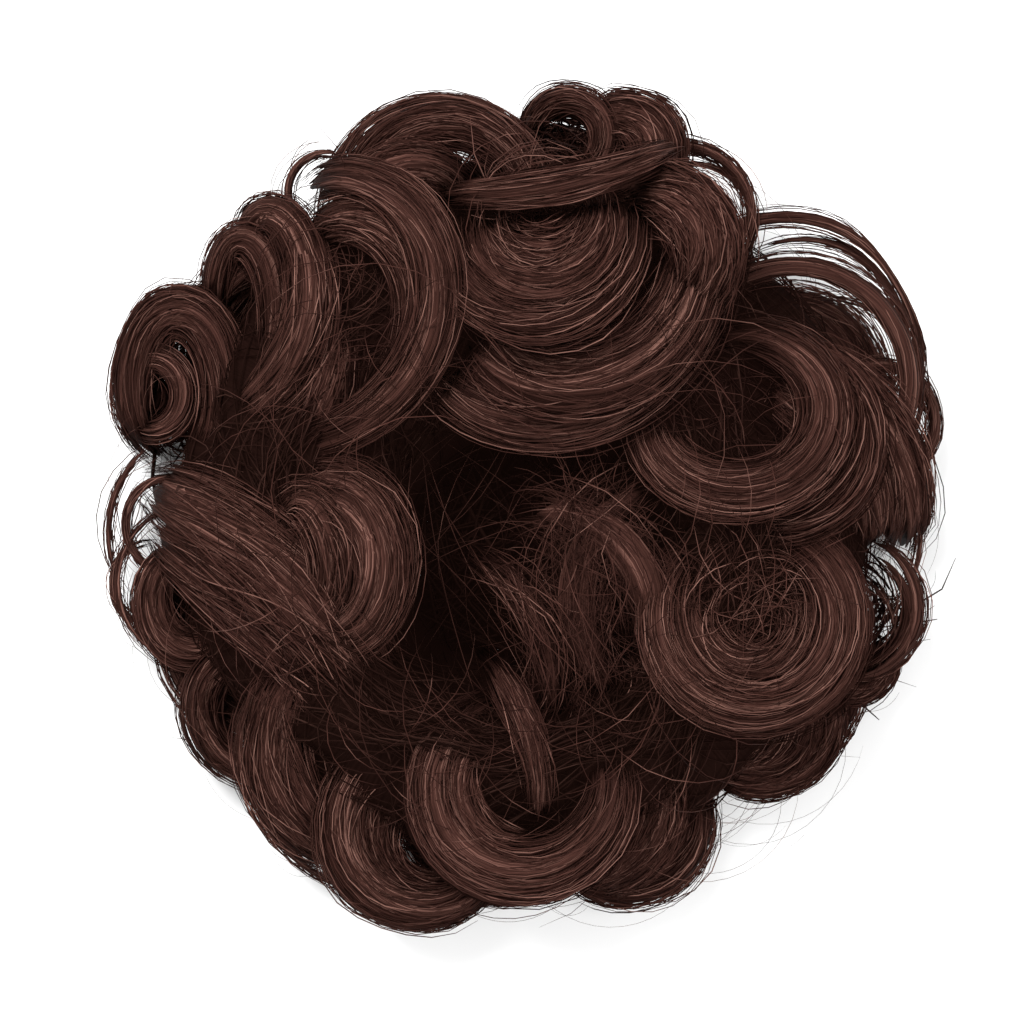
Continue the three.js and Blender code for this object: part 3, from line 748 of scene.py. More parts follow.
@dataclass
class Tress:
    """Hair laid along a lock's line: a core, flat bundles over it, and single strands over those."""

    lock: Lock
    seed: int
    spread: float = 1.2
    drop: float = 0.0
    bundles: int = 12
    strands: int = 85
    core: float = 0.8
    shade: float = 1.0
    dive: float = 7 * MM
    bundle_step: float = 2.8 * MM
    bundle_sides: int = 6
    strand_step: float = 4.4 * MM
    thickness: tuple[float, float] = (0.13 * MM, 0.26 * MM)
    stray_share: float = 0.2
    stray_reach: float = 1.35
    wave: float = 0.35 * MM
    lifts: tuple[float, float] = (0.0, 0.0)
    clear_of_bun: bool = False

    def __post_init__(self) -> None:
        """Works out half the width and thickness, the length, and how the two ends run out.

        An end that lies over the bed runs on, sinks and is painted darker, as shade deep in the hair; one off
        its rim stops short and turns under. lifts raises an end that would be lost in the bed, so that its
        hair lies on it.
        """
        self.wide = SIZES.lock_width * self.lock.width * self.spread / 2
        self.thick = min(SIZES.lock_width * self.lock.width, SIZES.lock_thickness) / 2
        self.length = self.lock.length()
        ends = self.lock.line(np.array([0.0, 1.0]))[:, :2]
        root, tip = np.linalg.norm(ends, axis=1) > 0.97 * SIZES.bed_radius
        self.overrun = (0.02 if root else 0.1, 0.02 if tip else 0.1)
        # Painted shade: the least share of light at each end, lower for an end over the bed.
        self.depth = (0.45 if root else 0.15, 0.45 if tip else 0.15)
        self.dives = (self.dive * (2 if root else 1), self.dive * (2 if tip else 1))

    @staticmethod
    def fullness(t: np.ndarray) -> np.ndarray:
        """Share of the full width at places along the lock, as its solid has it, and less past its ends."""
        inside = np.clip(t, 0, 1)
        full = SIZES.tip_share + (1 - SIZES.tip_share) * np.sqrt(np.sin(math.pi * inside).clip(0, 1))
        return full * np.clip(1 - 4 * np.abs(t - inside), 0.2, 1)

    def lit(self, t: np.ndarray) -> np.ndarray:
        """Share of painted light at places along the lock: the ends, which lie deep in the hair, are painted
        darker.
        """
        least = np.where(t < 0.5, *self.depth)
        return least + (1 - least) * np.clip((np.minimum(t, 1 - t) + 0.06) * 5, 0, 1) ** 1.5

    def put(self, t: np.ndarray, side: np.ndarray, rise: np.ndarray) -> np.ndarray:
        """Points from places along the lock and in its section.

        Args:
            t: Places along the lock.
            side: Metres across it, with one more axis than t.
            rise: Metres above its middle line, with one more axis than t.

        Returns:
            Points, with one more axis of three.
        """
        across, above = self.lock.axes(t)
        near_end = np.clip((np.abs(t - 0.5) - 0.37) / 0.13, 0, 1.7)
        at_root = np.clip(1 - t / 0.28, 0, 1.3) ** 1.5
        at_tip = np.clip(1 - (1 - t) / 0.28, 0, 1.3) ** 1.5
        sink = self.drop + np.minimum(np.where(t < 0.5, *self.dives) * near_end ** 2, 15 * MM)
        sink = sink - self.lifts[0] * at_root - self.lifts[1] * at_tip
        middle = self.lock.line(t) - np.array([0.0, 0.0, 1.0]) * sink[..., None]
        points = middle[..., None, :] + across[..., None, :] * side[..., None]
        points = points + above[..., None, :] * rise[..., None]
        if self.clear_of_bun:
            points = out_of_opening(points)
        return above_floor(points)

    def lay_core(self, mesh: FibreMesh) -> None:
        """Adds the core.

        Args:
            mesh: Where it goes.
        """
        t = np.linspace(0.0, 1.0, max(12, round(self.length / (2.5 * MM))))
        turn = np.linspace(-math.pi / 2, 1.5 * math.pi, 12, endpoint=False)
        size = (self.core * self.fullness(t) * np.clip(np.minimum(t, 1 - t) * 7 + 0.05, 0, 1) ** 0.6)[:, None]
        rings = self.put(t, np.cos(turn) * self.wide * size, np.sin(turn) * self.thick * size)
        # Painted shade: the core is coloured darker than the hair over it, lighter on its upper side and
        # darker towards its deep ends.
        mesh.skin(rings, self.shade * (0.3 + 0.15 * np.sin(turn))[None, :] * self.lit(t)[:, None])

    def lay_bundles(self, mesh: FibreMesh, rng: np.random.Generator) -> None:
        """Adds the flat bundles that lie round the core.

        Args:
            mesh: Where they go.
            rng: The lock's own random numbers.
        """
        count = self.bundles
        steps = int(np.clip(max(self.length / self.bundle_step, abs(self.lock.sweep) / 11), 10, 36))
        u = np.linspace(0, 1, steps)[None, :]
        first = rng.uniform(-self.overrun[0], 0.16, (count, 1))
        last = rng.uniform(0.84, 1 + self.overrun[1], (count, 1))
        t = first + (last - first) * u
        round_at = np.linspace(-0.08, 1.08, count)[:, None] * math.pi
        turn = (round_at + rng.normal(0, 0.15, (count, 1)) + rng.uniform(-0.5, 0.5) * (t - 0.5)
                + rng.normal(0, 0.55, (count, 1)) * (t - 0.5)
                + 0.12 * np.sin(2 * math.pi * rng.uniform(0.6, 1.6, (count, 1)) * t + 9 * first))
        out = rng.uniform(0.64, 0.94, (count, 1)) + 0.05 * np.sin(7 * t + 20 * first)
        full = self.fullness(t)
        narrow = 0.12 + 0.88 * np.sin(math.pi * u) ** 0.4
        half = self.wide * rng.uniform(1.8, 4.6, (count, 1)) / (count + 2) * full * narrow
        flat = half * rng.uniform(0.22, 0.42, (count, 1))
        long_x, long_y = -self.wide * np.sin(turn), self.thick * np.cos(turn)
        size = np.hypot(long_x, long_y)
        long_x, long_y = long_x / size, long_y / size
        ring = np.linspace(-math.pi / 2, 1.5 * math.pi, self.bundle_sides, endpoint=False)
        x = ((self.wide - half) * out * np.cos(turn) * full)[..., None]
        y = (self.thick * out * np.sin(turn) * full)[..., None]
        out_wide, out_flat = half[..., None] * np.cos(ring), flat[..., None] * np.sin(ring)
        x = x + out_wide * long_x[..., None] + out_flat * long_y[..., None]
        y = y + out_wide * long_y[..., None] - out_flat * long_x[..., None]
        points = self.put(t, x, y)
        # Painted shade: bundles are darker at their edges, on the lock's lower side and towards its deep
        # ends; own is random tone.
        edge = 0.62 + 0.38 * np.abs(np.sin(ring))[None, None, :]
        layer = 0.75 + 0.25 * np.clip(np.sin(turn), 0, 1)[..., None]
        own = rng.uniform(0.8, 1.2, (count, 1, 1))
        shade = self.shade * edge * layer * self.lit(t)[..., None] * own
        for i in range(count):
            mesh.skin(points[i], shade[i])

    def lay_strands(self, mesh: FibreMesh, rng: np.random.Generator) -> None:
        """Adds the single strands.

        Args:
            mesh: Where they go.
            rng: The lock's own random numbers.
        """
        count = self.strands
        steps = int(np.clip(max(self.length / self.strand_step, abs(self.lock.sweep) / 14), 8, 22))
        turn = rng.uniform(-0.15, 1.15, (count, 1)) * math.pi
        out = rng.uniform(0.86, 1.08, (count, 1))
        stray = rng.random((count, 1)) < self.stray_share
        out = np.where(stray, rng.uniform(1.08, self.stray_reach, (count, 1)), out)
        turn = np.where(stray, rng.uniform(0.1, 0.9, (count, 1)) * math.pi, turn)
        first = rng.uniform(-max(0.07, 1.3 * self.overrun[0]), 0.26, (count, 1))
        last = rng.uniform(0.74, 1 + max(0.07, 1.3 * self.overrun[1]), (count, 1))
        t = first + (last - first) * np.linspace(0, 1, steps)[None, :]
        turn = turn + rng.normal(0, 0.7, (count, 1)) * (t - 0.5)
        winds = rng.uniform(0.5, 1.6, (count, 1)) * t + rng.random((count, 1))
        turn = turn + 0.14 * np.sin(2 * math.pi * winds)
        out = out + 0.06 * np.sin(8 * t + 30 * first)
        full = self.fullness(t)
        own = rng.uniform(0, 2 * math.pi, (count, 2, 1))
        speed = rng.uniform(3, 9, (count, 2, 1))
        ripple = self.wave * rng.uniform(0.1, 1.0, (count, 1)) * np.where(stray, 3.5, 1)
        side = out * np.cos(turn) * self.wide * full + ripple * np.sin(speed[:, 0] * t + own[:, 0])
        rise = out * np.sin(turn) * self.thick * full + ripple * np.sin(speed[:, 1] * t + own[:, 1])
        paths = self.put(t, side[..., None], rise[..., None])[:, :, 0]
        # Painted shade: strands are darker on the lock's lower side and towards its deep ends; the random
        # factor is tone, and stray strands are a little lighter.
        layer = 0.75 + 0.25 * np.clip(np.sin(turn), 0, 1)
        shade = self.shade * rng.uniform(0.55, 1.2, (count, 1)) * layer * self.lit(t)
        shade = shade * np.where(stray, 1.15, 1)
        mesh.strands(paths, rng.uniform(*self.thickness, count), shade)

    def lay(self, mesh: FibreMesh) -> None:
        """Adds the whole tress.

        Args:
            mesh: Where it goes.
        """
        rng = np.random.default_rng(self.seed)
        if self.core > 0:
            self.lay_core(mesh)
        self.lay_bundles(mesh, rng)
        self.lay_strands(mesh, rng)


# How much wider than its solid the loose outer hair of some locks spreads.
SPREADS = {
    "centre_roll": 1.4, "centre_roll_inner": 1.45, "under_roll": 1.3, "left_sweep": 1.5,
    "left_under_sweep": 1.4, "left_bump": 1.3, "left_bump_inner": 1.5, "rim_fall": 1.3,
    "rim_fall_inner": 1.3, "right_inner_sweep": 1.3, "lower_left_fall": 1.3, "bottom_curl_inner": 1.0,
    "inner_tress": 0.9, "left_ringlet_inner": 0.95, "top_curl_outer": 1.0, "centre_strand": 1.0,
}

# How far the hair at a lock's root and tip is raised to lie on the bed, where its solid's ends are sunk
# in the bed. In millimetres.
LIFTS = {
    "under_roll": (3.5, 0), "under_roll_outer": (6, 0), "upper_left_curl": (0, 8),
    "upper_left_curl_inner": (0, 9), "left_bump": (0, 7), "left_sweep": (0, 8), "left_under_sweep": (0, 8),
    "rim_fall": (0, 8), "rim_fall_inner": (0, 9), "bottom_curl": (9, 11), "bottom_left_curl": (9, 0),
    "bottom_left_curl_inner": (8, 0), "bottom_right_fall": (10, 0), "bottom_right_sweep": (10, 0),
    "lower_left_fall": (9, 0),
}

# Short straight tresses, loose enough to see between their strands.
CORELESS = ("inner_tress", "centre_strand")


@dataclass
class CurledLock:
    """One lock of the hairpiece, which stands for its solid."""

    lock: Lock
    number: int
    spread: float = 1.15
    full_bundles: int = 14
    full_strands: int = 150
    first_seed: int = 1000

    def tress(self) -> Tress:
        """The lock's hair: full, or for a thin loop a few bundles without a core.

        Returns:
            The tress.
        """
        seed = self.first_seed + self.number
        if self.lock.build is Build.LOOP:
            return Tress(self.lock, seed, spread=1.15, bundles=4, strands=26, core=0, dive=2 * MM,
                         wave=0.5 * MM)
        spread = SPREADS.get(self.lock.name, self.spread)
        size = self.lock.width * spread / self.spread
        share = 0.6 if self.lock.name.startswith("rim") else 1
        root_lift, tip_lift = LIFTS.get(self.lock.name, (0, 0))
        return Tress(self.lock, seed, spread=spread, bundles=max(7, round(self.full_bundles * size)),
                     strands=round(self.full_strands * size * share),
                     core=0 if self.lock.name in CORELESS else 0.8, lifts=(root_lift * MM, tip_lift * MM))

    def make(self) -> bpy.types.Object:
        """Makes the lock's piece.

        Returns:
            The object.
        """
        mesh = FibreMesh()
        self.tress().lay(mesh)
        return mesh.piece(self.lock.name + "_hair", LOCK_HAIR, (self.lock.name,))


@dataclass
class UnderTresses:
    """The tresses that lie under the locks and fill the spaces between them, painted darker for the shade
    under the locks.
    """

    spread: float = 1.5
    drop: float = 7 * MM
    bundles: int = 5
    strands: int = 9
    first_seed: int = 3000

    def make(self, locks: tuple[Lock, ...]) -> bpy.types.Object:
        """Makes the tresses as one piece.

        Args:
            locks: The locks that they lie under.

        Returns:
            The object.
        """
        mesh = FibreMesh()
        for number, lock in enumerate(locks):
            if lock.build is Build.FULL:
                Tress(lock, self.first_seed + number, spread=self.spread, drop=self.drop,
                      bundles=self.bundles, strands=self.strands, core=0, shade=0.9,
                      bundle_step=3.6 * MM, clear_of_bun=True).lay(mesh)
        return mesh.piece("under_tresses", SHADED_BED_HAIR)


@dataclass
class UnderHair:
    """The bed of short hair: a combed mound with strands all over it, open in the middle for the bun."""

    skin_sides: int = 132
    combed_strands: int = 1400
    curled_strands: int = 260
    underside_strands: int = 380
    underside_reach: float = 62 * MM
    underside_height: float = 0.35 * MM
    seed: int = 71
    steps: int = 9
    thickness: tuple[float, float] = (0.22 * MM, 0.42 * MM)

    @staticmethod
    def _section() -> tuple[np.ndarray, np.ndarray]:
        """The section of the outer wall: distances out and heights, in metres."""
        out = np.array([share for share, _ in BED_WALL]) * SIZES.bed_radius
        up = np.array([share for _, share in BED_WALL]) * SIZES.bed_height
        return out, up

    def surface(self, angle: np.ndarray, place: np.ndarray) -> np.ndarray:
        """Points on the bed.

        Args:
            angle: Angles round the hairpiece.
            place: 0 to 1 up the outer wall, 1 to 2 over the crest, 2 to 3 down the opening's wall.

        Returns:
            Points in the locks' frame.
        """
        out, up = self._section()
        shares = np.linspace(0, 1, len(out))
        wall = np.clip(place, 0, 1)
        height = np.interp(wall, shares, up)
        swirl = SIZES.swirl_count * (angle - SIZES.swirl_turn * height / SIZES.bed_height)
        reach = np.interp(wall, shares, out) - SIZES.swirl_depth * (1 - np.cos(swirl)) / 2
        outer = np.stack([reach * np.cos(angle), reach * np.sin(angle), height], -1)
        down = np.clip(place - 2, 0, 1)
        foot = SIZES.band_lift + SIZES.band_height + SIZES.track_thickness
        inner = round_bun(SIZES.bun_radius + SIZES.mouth_flare * (1 - down), angle,
                          SIZES.bed_height + (foot - SIZES.bed_height) * down)
        over = np.clip(place - 1, 0, 1)[..., None]
        crest = outer + (inner - outer) * over
        crest[..., 2] += 1.5 * MM * np.sin(math.pi * over[..., 0])
        return crest

    def _skin(self, mesh: FibreMesh) -> None:
        """Adds the bed's skin, with the step in its underside that holds the elastic and the track.

        Args:
            mesh: Where it goes.
        """
        angle = np.linspace(0, 2 * math.pi, self.skin_sides, endpoint=False)
        rings = [self.surface(angle, np.full_like(angle, place)) for place in np.linspace(0, 3, 46)]
        gap = SIZES.clearance
        band_out = SIZES.band_radius + SIZES.band_width / 2 + gap
        track_out = SIZES.bun_radius + SIZES.band_width / 4 + SIZES.track_width + gap
        shelf = SIZES.band_lift + SIZES.band_height + SIZES.track_thickness + 2 * gap
        ledge = shelf - SIZES.track_thickness - 2 * gap
        for reach, height in ((SIZES.bun_radius, shelf), (track_out, shelf), (track_out, ledge),
                              (band_out, ledge), (band_out, 0.0)):
            rings.append(round_bun(reach, angle, height))
        # Painted shade: the bed's skin is coloured dark, for the shade under the locks.
        mesh.skin(np.stack(rings), 0.35, closed=True)

    def _combed(self, rng: np.random.Generator) -> np.ndarray:
        """Strands that follow the bed's combed bundles.

        Args:
            rng: Random numbers.

        Returns:
            Points, strands by points by 3.
        """
        count = self.combed_strands
        t = np.linspace(0, 1, self.steps)[None, :]
        start = rng.uniform(0, 2 * math.pi, (count, 1))
        turn = rng.uniform(0.1, 0.9, (count, 1)) * rng.choice((-1, 1), (count, 1), p=(0.3, 0.7))
        low = rng.uniform(0.0, 2.0, (count, 1))
        climb = rng.uniform(0.3, 0.8, (count, 1))
        angle = start + turn * t + 0.05 * np.sin(6 * t + start * 9)
        place = np.minimum(low + climb * t, 2.95)
        base = self.surface(angle, place)
        nudge = 1e-3
        normal = unit(np.cross(self.surface(angle + nudge, place) - base,
                               self.surface(angle, place + nudge) - base))
        lift = rng.uniform(0.1, 2.6, (count, 1)) * MM * np.sin(math.pi * t) + 0.15 * MM
        return base + normal * lift[..., None]

    def top(self, x: np.ndarray, y: np.ndarray) -> np.ndarray:
        """Height of the bed's upper side over a point in plan.

        Args:
            x: Places along X.
            y: Places along Y.

        Returns:
            Heights.
        """
        out = np.hypot(x, y) / SIZES.bed_radius
        outer = np.interp(out, (0.74, 0.92, 1.0, 1.12), (1.0, 0.8, 0.5, 0.25))
        middle = np.hypot(x, y + SIZES.bun_shift)
        inner = np.interp(middle, (SIZES.bun_radius, SIZES.bun_radius + SIZES.mouth_flare), (0.2, 1.0))
        return np.minimum(outer, inner) * SIZES.bed_height

    def _curled(self, rng: np.random.Generator) -> np.ndarray:
        """Loose arcs of hair that lie over the bed, round it more than across it.

        Args:
            rng: Random numbers.

        Returns:
            Points, strands by points by 3.
        """
        count = self.curled_strands
        t = np.linspace(0, 1, self.steps)[None, :]
        angle = rng.uniform(0, 2 * math.pi, (count, 1))
        reach = rng.uniform(30, 60, (count, 1)) * MM
        curl = rng.uniform(10, 30, (count, 1)) * MM
        lean = angle + rng.normal(0, 0.9, (count, 1))
        sweep = np.radians(rng.uniform(50, 140, (count, 1))) * rng.choice((-1, 1), (count, 1))
        turn = lean + sweep * (t - 0.5)
        x = reach * np.cos(angle) + curl * (np.cos(turn) - np.cos(lean))
        y = reach * np.sin(angle) - SIZES.bun_shift / 2 + curl * (np.sin(turn) - np.sin(lean))
        lift = rng.uniform(2, 26, (count, 1)) * MM * np.sin(math.pi * t)
        return np.stack([x, y, self.top(x, y) + lift], -1)

    def _underside(self, rng: np.random.Generator) -> np.ndarray:
        """Strands that run out from the track along the flat underside.

        Args:
            rng: Random numbers.

        Returns:
            Points, strands by points by 3.
        """
        count = self.underside_strands
        t = np.linspace(0, 1, self.steps)[None, :]
        start = rng.uniform(0, 2 * math.pi, (count, 1))
        angle = start + rng.uniform(-0.5, 0.7, (count, 1)) * t
        reach = (27 + rng.uniform(0, 12, (count, 1)) + rng.uniform(12, 34, (count, 1)) * t) * MM
        return round_bun(np.minimum(reach, self.underside_reach), angle, self.underside_height, 1 - t)

    def make(self) -> tuple[bpy.types.Object, bpy.types.Object]:
        """Makes the bed's two pieces.

        Returns:
            The bed with its combed hair, and the loose arcs that lie on it.
        """
        rng = np.random.default_rng(self.seed)
        bed = FibreMesh()
        self._skin(bed)
        for paths in (self._combed(rng), self._underside(rng)):
            count = len(paths)
            bed.strands(above_floor(paths), rng.uniform(*self.thickness, count), rng.uniform(0.4, 1.1, count))
        first = bed.piece("under_hair_bed", SHADED_BED_HAIR, ("under_hair",))
        arcs = FibreMesh()
        paths = self._curled(rng)
        arcs.strands(above_floor(paths), rng.uniform(0.12, 0.22, len(paths)) * MM,
                     rng.uniform(0.3, 0.9, len(paths)))
        return first, arcs.piece("loose_arcs", LOCK_HAIR)


@dataclass
class CurlInsides:
    """The loose hair inside the open curls, which winds in and down from them."""

    # The curl, how many hairs, their highest and lowest places below the curl's crown, their shade and
    # their greatest thickness. The shade is painted shade inside the curl; the rows of thick hairs with low
    # shade are dark hair that paints the shade in the curls' holes.
    rows: tuple[tuple[str, int, float, float, float, float], ...] = (
        ("right_upper_curl", 90, 5, 16, 0.6, 0.3), ("right_lower_curl", 320, 2, 12, 0.95, 0.28),
        ("bottom_curl", 45, 6, 14, 0.5, 0.3), ("upper_left_curl", 60, 5, 14, 0.6, 0.3),
        ("bottom_left_curl", 30, 3, 9, 0.6, 0.3), ("left_ringlet", 12, 4, 12, 0.5, 0.3),
        ("top_curl", 20, 4, 12, 0.5, 0.3), ("centre_roll", 110, 3, 10, 0.9, 0.3),
        ("under_roll", 70, 5, 10, 0.7, 0.3), ("left_low_curl", 60, 1, 8, 0.8, 0.3),
        ("lower_left_loop", 24, 1, 8, 0.7, 0.3), ("top_left_curl", 50, 3, 10, 0.7, 0.3),
        ("left_ringlet", 80, 12, 20, 0.15, 1.1), ("left_ringlet_inner", 50, 4, 12, 0.15, 1.2),
        ("right_rim_curl", 110, 1, 10, 0.25, 0.9), ("top_curl_outer", 50, 4, 14, 0.2, 0.6),
        ("top_curl", 40, 6, 16, 0.15, 1.2),
    )
    crossing_share: float = 0.4
    crossing_length: float = 1.3
    seed: int = 74
    steps: int = 9

    def make(self) -> bpy.types.Object:
        """Makes the piece.

        Returns:
            The object.
        """
        rng = np.random.default_rng(self.seed)
        by_name = {lock.name: lock for lock in LOCKS}
        mesh = FibreMesh()
        t = np.linspace(0, 1, self.steps)[None, :]
        for name, count, high, low, shade, thickest in self.rows:
            lock = by_name[name]
            start = rng.uniform(0, 2 * math.pi, (count, 1))
            sweep = np.radians(rng.uniform(60, 210, (count, 1))) * np.sign(lock.sweep)
            share = rng.uniform(0.25, 0.95, (count, 1)) * (1 - rng.uniform(0, 0.35, (count, 1)) * t)
            reach = SIZES.hair_radius * lock.radius * share
            shift = rng.normal(0, 0.12, (count, 2, 1)) * SIZES.hair_radius * lock.radius
            turn = start + sweep * t
            crossing = rng.random((count, 1)) < self.crossing_share
            reach = reach * np.where(crossing, self.crossing_length, 1)
            middle = start + sweep / 2
            along_x = np.cos(turn) - crossing * np.cos(middle)
            along_y = np.sin(turn) - crossing * np.sin(middle)
            x = SIZES.hair_radius * lock.x + shift[:, 0] + reach * along_x
            y = SIZES.hair_radius * lock.y + shift[:, 1] + reach * lock.tall * along_y
            top = lock.crown * (SIZES.hair_height - SIZES.lock_thickness / 2)
            fall = rng.uniform(0, 6, (count, 1)) * MM
            z = top - rng.uniform(high, low, (count, 1)) * MM - fall * t
            # Painted shade: the row's shade darkens the hair inside the curl; the random factor is tone.
            mesh.strands(above_floor(np.stack([x, y, z], -1)), rng.uniform(0.14, thickest, count) * MM,
                         shade * rng.uniform(0.6, 1.3, count))
        return mesh.piece("curl_insides", LOCK_HAIR)


@dataclass
class BunOpeningHair:
    """The loose hair that crosses the opening: a web low down, coloured dark as painted shade of the opening,
    and brown wisps and frizz above it.
    """

    web_strands: int = 420
    wisp_strands: int = 34
    frizz_strands: int = 480
    seed: int = 72
    steps: int = 10
    frizz_middle: tuple[float, float] = (12 * MM, -14 * MM)
    frizz_size: tuple[float, float] = (8 * MM, 20 * MM)

    def _chords(self, rng: np.random.Generator, count: int, low: tuple[float, float],
                bulge: float) -> np.ndarray:
        """Strands that run from wall to wall of the opening.

        Args:
            rng: Random numbers.
            count: How many strands.
            low: Lowest and highest height.
            bulge: How far they bend aside.

        Returns:
            Points, strands by points by 3.
        """
        t = np.linspace(0, 1, self.steps)[None, :]
        height = rng.uniform(*low, (count, 1))
        wall = SIZES.bun_radius + SIZES.mouth_flare * height / SIZES.bed_height
        start = rng.uniform(0, 2 * math.pi, (count, 1))
        end = start + rng.uniform(0.45, 1.55, (count, 1)) * math.pi
        side = rng.normal(0, bulge, (count, 1)) * np.sin(math.pi * t)
        x = wall * (np.cos(start) * (1 - t) + np.cos(end) * t) + side * np.cos((start + end) / 2)
        y = wall * (np.sin(start) * (1 - t) + np.sin(end) * t) + side * np.sin((start + end) / 2)
        z = height + rng.normal(0, 2.2 * MM, (count, 1)) * np.sin(math.pi * t)
        return np.stack([x, y - SIZES.bun_shift, z], -1)

    def _frizz(self, rng: np.random.Generator) -> np.ndarray:
        """The frizzy tuft over the opening's +X side.

        Args:
            rng: Random numbers.

        Returns:
            Points, strands by points by 3.
        """
        count = self.frizz_strands
        t = np.linspace(0, 1, self.steps)[None, :]
        x = self.frizz_middle[0] + rng.normal(0, 0.5, (count, 1)) * self.frizz_size[0]
        y = self.frizz_middle[1] + rng.normal(0, 0.5, (count, 1)) * self.frizz_size[1]
        curl = rng.uniform(6, 20, (count, 1)) * MM
        lean = rng.choice((0.1, 1.0), (count, 1)) * math.pi + rng.normal(0, 0.7, (count, 1))
        sweep = np.radians(rng.uniform(40, 150, (count, 1)))
        turn = lean + sweep * (t - 0.5)
        height = rng.uniform(22, 43, (count, 1)) * MM
        slope = rng.normal(0, 4, (count, 1)) * MM
        return np.stack([x + curl * (np.cos(turn) - np.cos(lean)), y + curl * (np.sin(turn) - np.sin(lean)),
                         height + slope * (t - 0.5) + 2 * MM * np.sin(9 * t + lean)], -1)

    def make(self) -> tuple[bpy.types.Object, bpy.types.Object]:
        """Makes the web and the wisps.

        Returns:
            The two objects.
        """
        rng = np.random.default_rng(self.seed)
        web = FibreMesh()
        paths = self._chords(rng, self.web_strands, (2 * MM, 14 * MM), 7 * MM)
        # Painted shade: loose hair made thick and dark stands in for the shade deep in the opening.
        web.strands(above_floor(paths), rng.uniform(0.5, 0.8, len(paths)) * MM, np.full(len(paths), 0.25))
        first = web.piece("opening_web", SHADED_BED_HAIR)
        wisps = FibreMesh()
        for paths in (self._chords(rng, self.wisp_strands, (16 * MM, 34 * MM), 17 * MM), self._frizz(rng)):
            wisps.strands(paths, rng.uniform(0.1, 0.2, len(paths)) * MM, rng.uniform(0.35, 0.85, len(paths)))
        return first, wisps.piece("opening_wisps", LOCK_HAIR)


@dataclass
class RimFlyaways:
    """Single fine hairs that stand off the outline."""

    count: int = 230
    seed: int = 73
    steps: int = 14
    thickness: tuple[float, float] = (0.05 * MM, 0.1 * MM)
    reach: tuple[float, float] = (66 * MM, 81 * MM)

    def make(self) -> bpy.types.Object:
        """Makes the flyaways.

        Returns:
            The object.
        """
        rng = np.random.default_rng(self.seed)
        t = np.linspace(0, 1, self.steps)[None, :]
        angle = rng.uniform(0, 2 * math.pi, (self.count, 1))
        reach = rng.uniform(*self.reach, (self.count, 1))
        curl = rng.uniform(4, 20, (self.count, 1)) * MM
        lean = angle + rng.normal(0, 0.35, (self.count, 1))
        sweep = np.radians(rng.uniform(50, 170, (self.count, 1))) * rng.choice((-1, 1), (self.count, 1))
        turn = lean + sweep * (t - 0.5)
        middle = reach - curl
        x = middle * np.cos(angle) + curl * np.cos(turn)
        y = middle * np.sin(angle) + curl * np.sin(turn)
        z = rng.uniform(8, 34, (self.count, 1)) * MM + rng.normal(0, 5, (self.count, 1)) * MM * (t - 0.5)
        mesh = FibreMesh()
        mesh.strands(above_floor(np.stack([x, y, z], -1)),
                     rng.uniform(*self.thickness, self.count), rng.uniform(0.5, 1.0, self.count))
        return mesh.piece("rim_flyaways", LOCK_HAIR)


@dataclass
class LooseWisps:
    """Loops off the rim and wisps over the opening, of a few loose strands, too thin to have solids."""

    first_seed: int = 5000
    # Each wisp's strands, and its line with the columns of Lock.
    rows: tuple[tuple[int, tuple[str | float, ...]], ...] = (
        (16, ("left_upper_loop", -0.73, -0.05, 0.265, 1, 1, 125, 85, 0.16, 0.3, 0.24, 0.2)),
        (12, ("left_inner_loop", -0.8, -0.17, 0.17, 1, 1.1, 85, 175, 0.14, 0.3, 0.26, 0.26)),
        (16, ("top_inner_arc", -0.19, 0.7, 0.25, 1, 1, 170, -150, 0.14, 0.34, 0.4, 0.44)),
        (14, ("top_right_loop", 0.4, 0.68, 0.145, 1, 1, 120, -180, 0.14, 0.4, 0.36, 0.4)),
        (18, ("right_upper_loop", 0.66, 0.4, 0.25, 1, 1, 120, -170, 0.16, 0.34, 0.3, 0.26)),
        (18, ("right_middle_loop", 0.72, 0.28, 0.23, 1, 1, 100, -160, 0.14, 0.34, 0.26, 0.24)),
        (14, ("right_side_arc", 0.75, -0.05, 0.2, 1, 1.3, 60, -130, 0.14, 0.3, 0.22, 0.2)),
        (12, ("right_low_arc", 0.76, -0.3, 0.13, 1, 1.2, 60, -170, 0.12, 0.26, 0.18, 0.2)),
        (12, ("lower_left_arc", -0.55, -0.42, 0.24, 1, 1, 120, 150, 0.12, 0.24, 0.2, 0.2)),
        (12, ("bottom_left_arc", -0.33, -0.6, 0.32, 1, 1, 150, 130, 0.12, 0.24, 0.16, 0.14)),
        (14, ("left_end_loop", -0.86, -0.03, 0.09, 1, 1.2, 60, 210, 0.2, 0.34, 0.28, 0.24)),
        (14, ("upper_left_loop", -0.47, 0.76, 0.09, 1, 1, 60, 200, 0.2, 0.42, 0.36, 0.3)),
        (90, ("middle_wisp", -0.29, -0.416, 0.36, 1, 1, 58, -70, 0.42, 0.5, 0.68, 0.5)),
        (60, ("frizz_arc", 0.04, -0.255, 0.26, 1, 1, 100, -120, 0.8, 0.5, 0.64, 0.5)),
        (60, ("frizz_back", 0.42, -0.2, 0.3, 1, 1, 110, 120, 0.8, 0.5, 0.64, 0.5)),
        (18, ("small_ring", 0.19, -0.4, 0.08, 1, 1, 170, 250, 0.3, 0.5, 0.58, 0.5)),
    )

    def make(self) -> bpy.types.Object:
        """Makes the piece.

        Returns:
            The object.
        """
        mesh = FibreMesh()
        for number, (strands, row) in enumerate(self.rows):
            lock = Lock(*row)
            broad = lock.width > 0.3
            Tress(lock, self.first_seed + number, spread=1.0, bundles=3, strands=strands, core=0, dive=2 * MM,
                  shade=0.75 if broad else 1.0, stray_share=0.5, stray_reach=2.2,
                  wave=(1.3 if broad else 0.6) * MM).lay(mesh)
        return mesh.piece("loose_wisps", LOCK_HAIR)


# What carries the hair


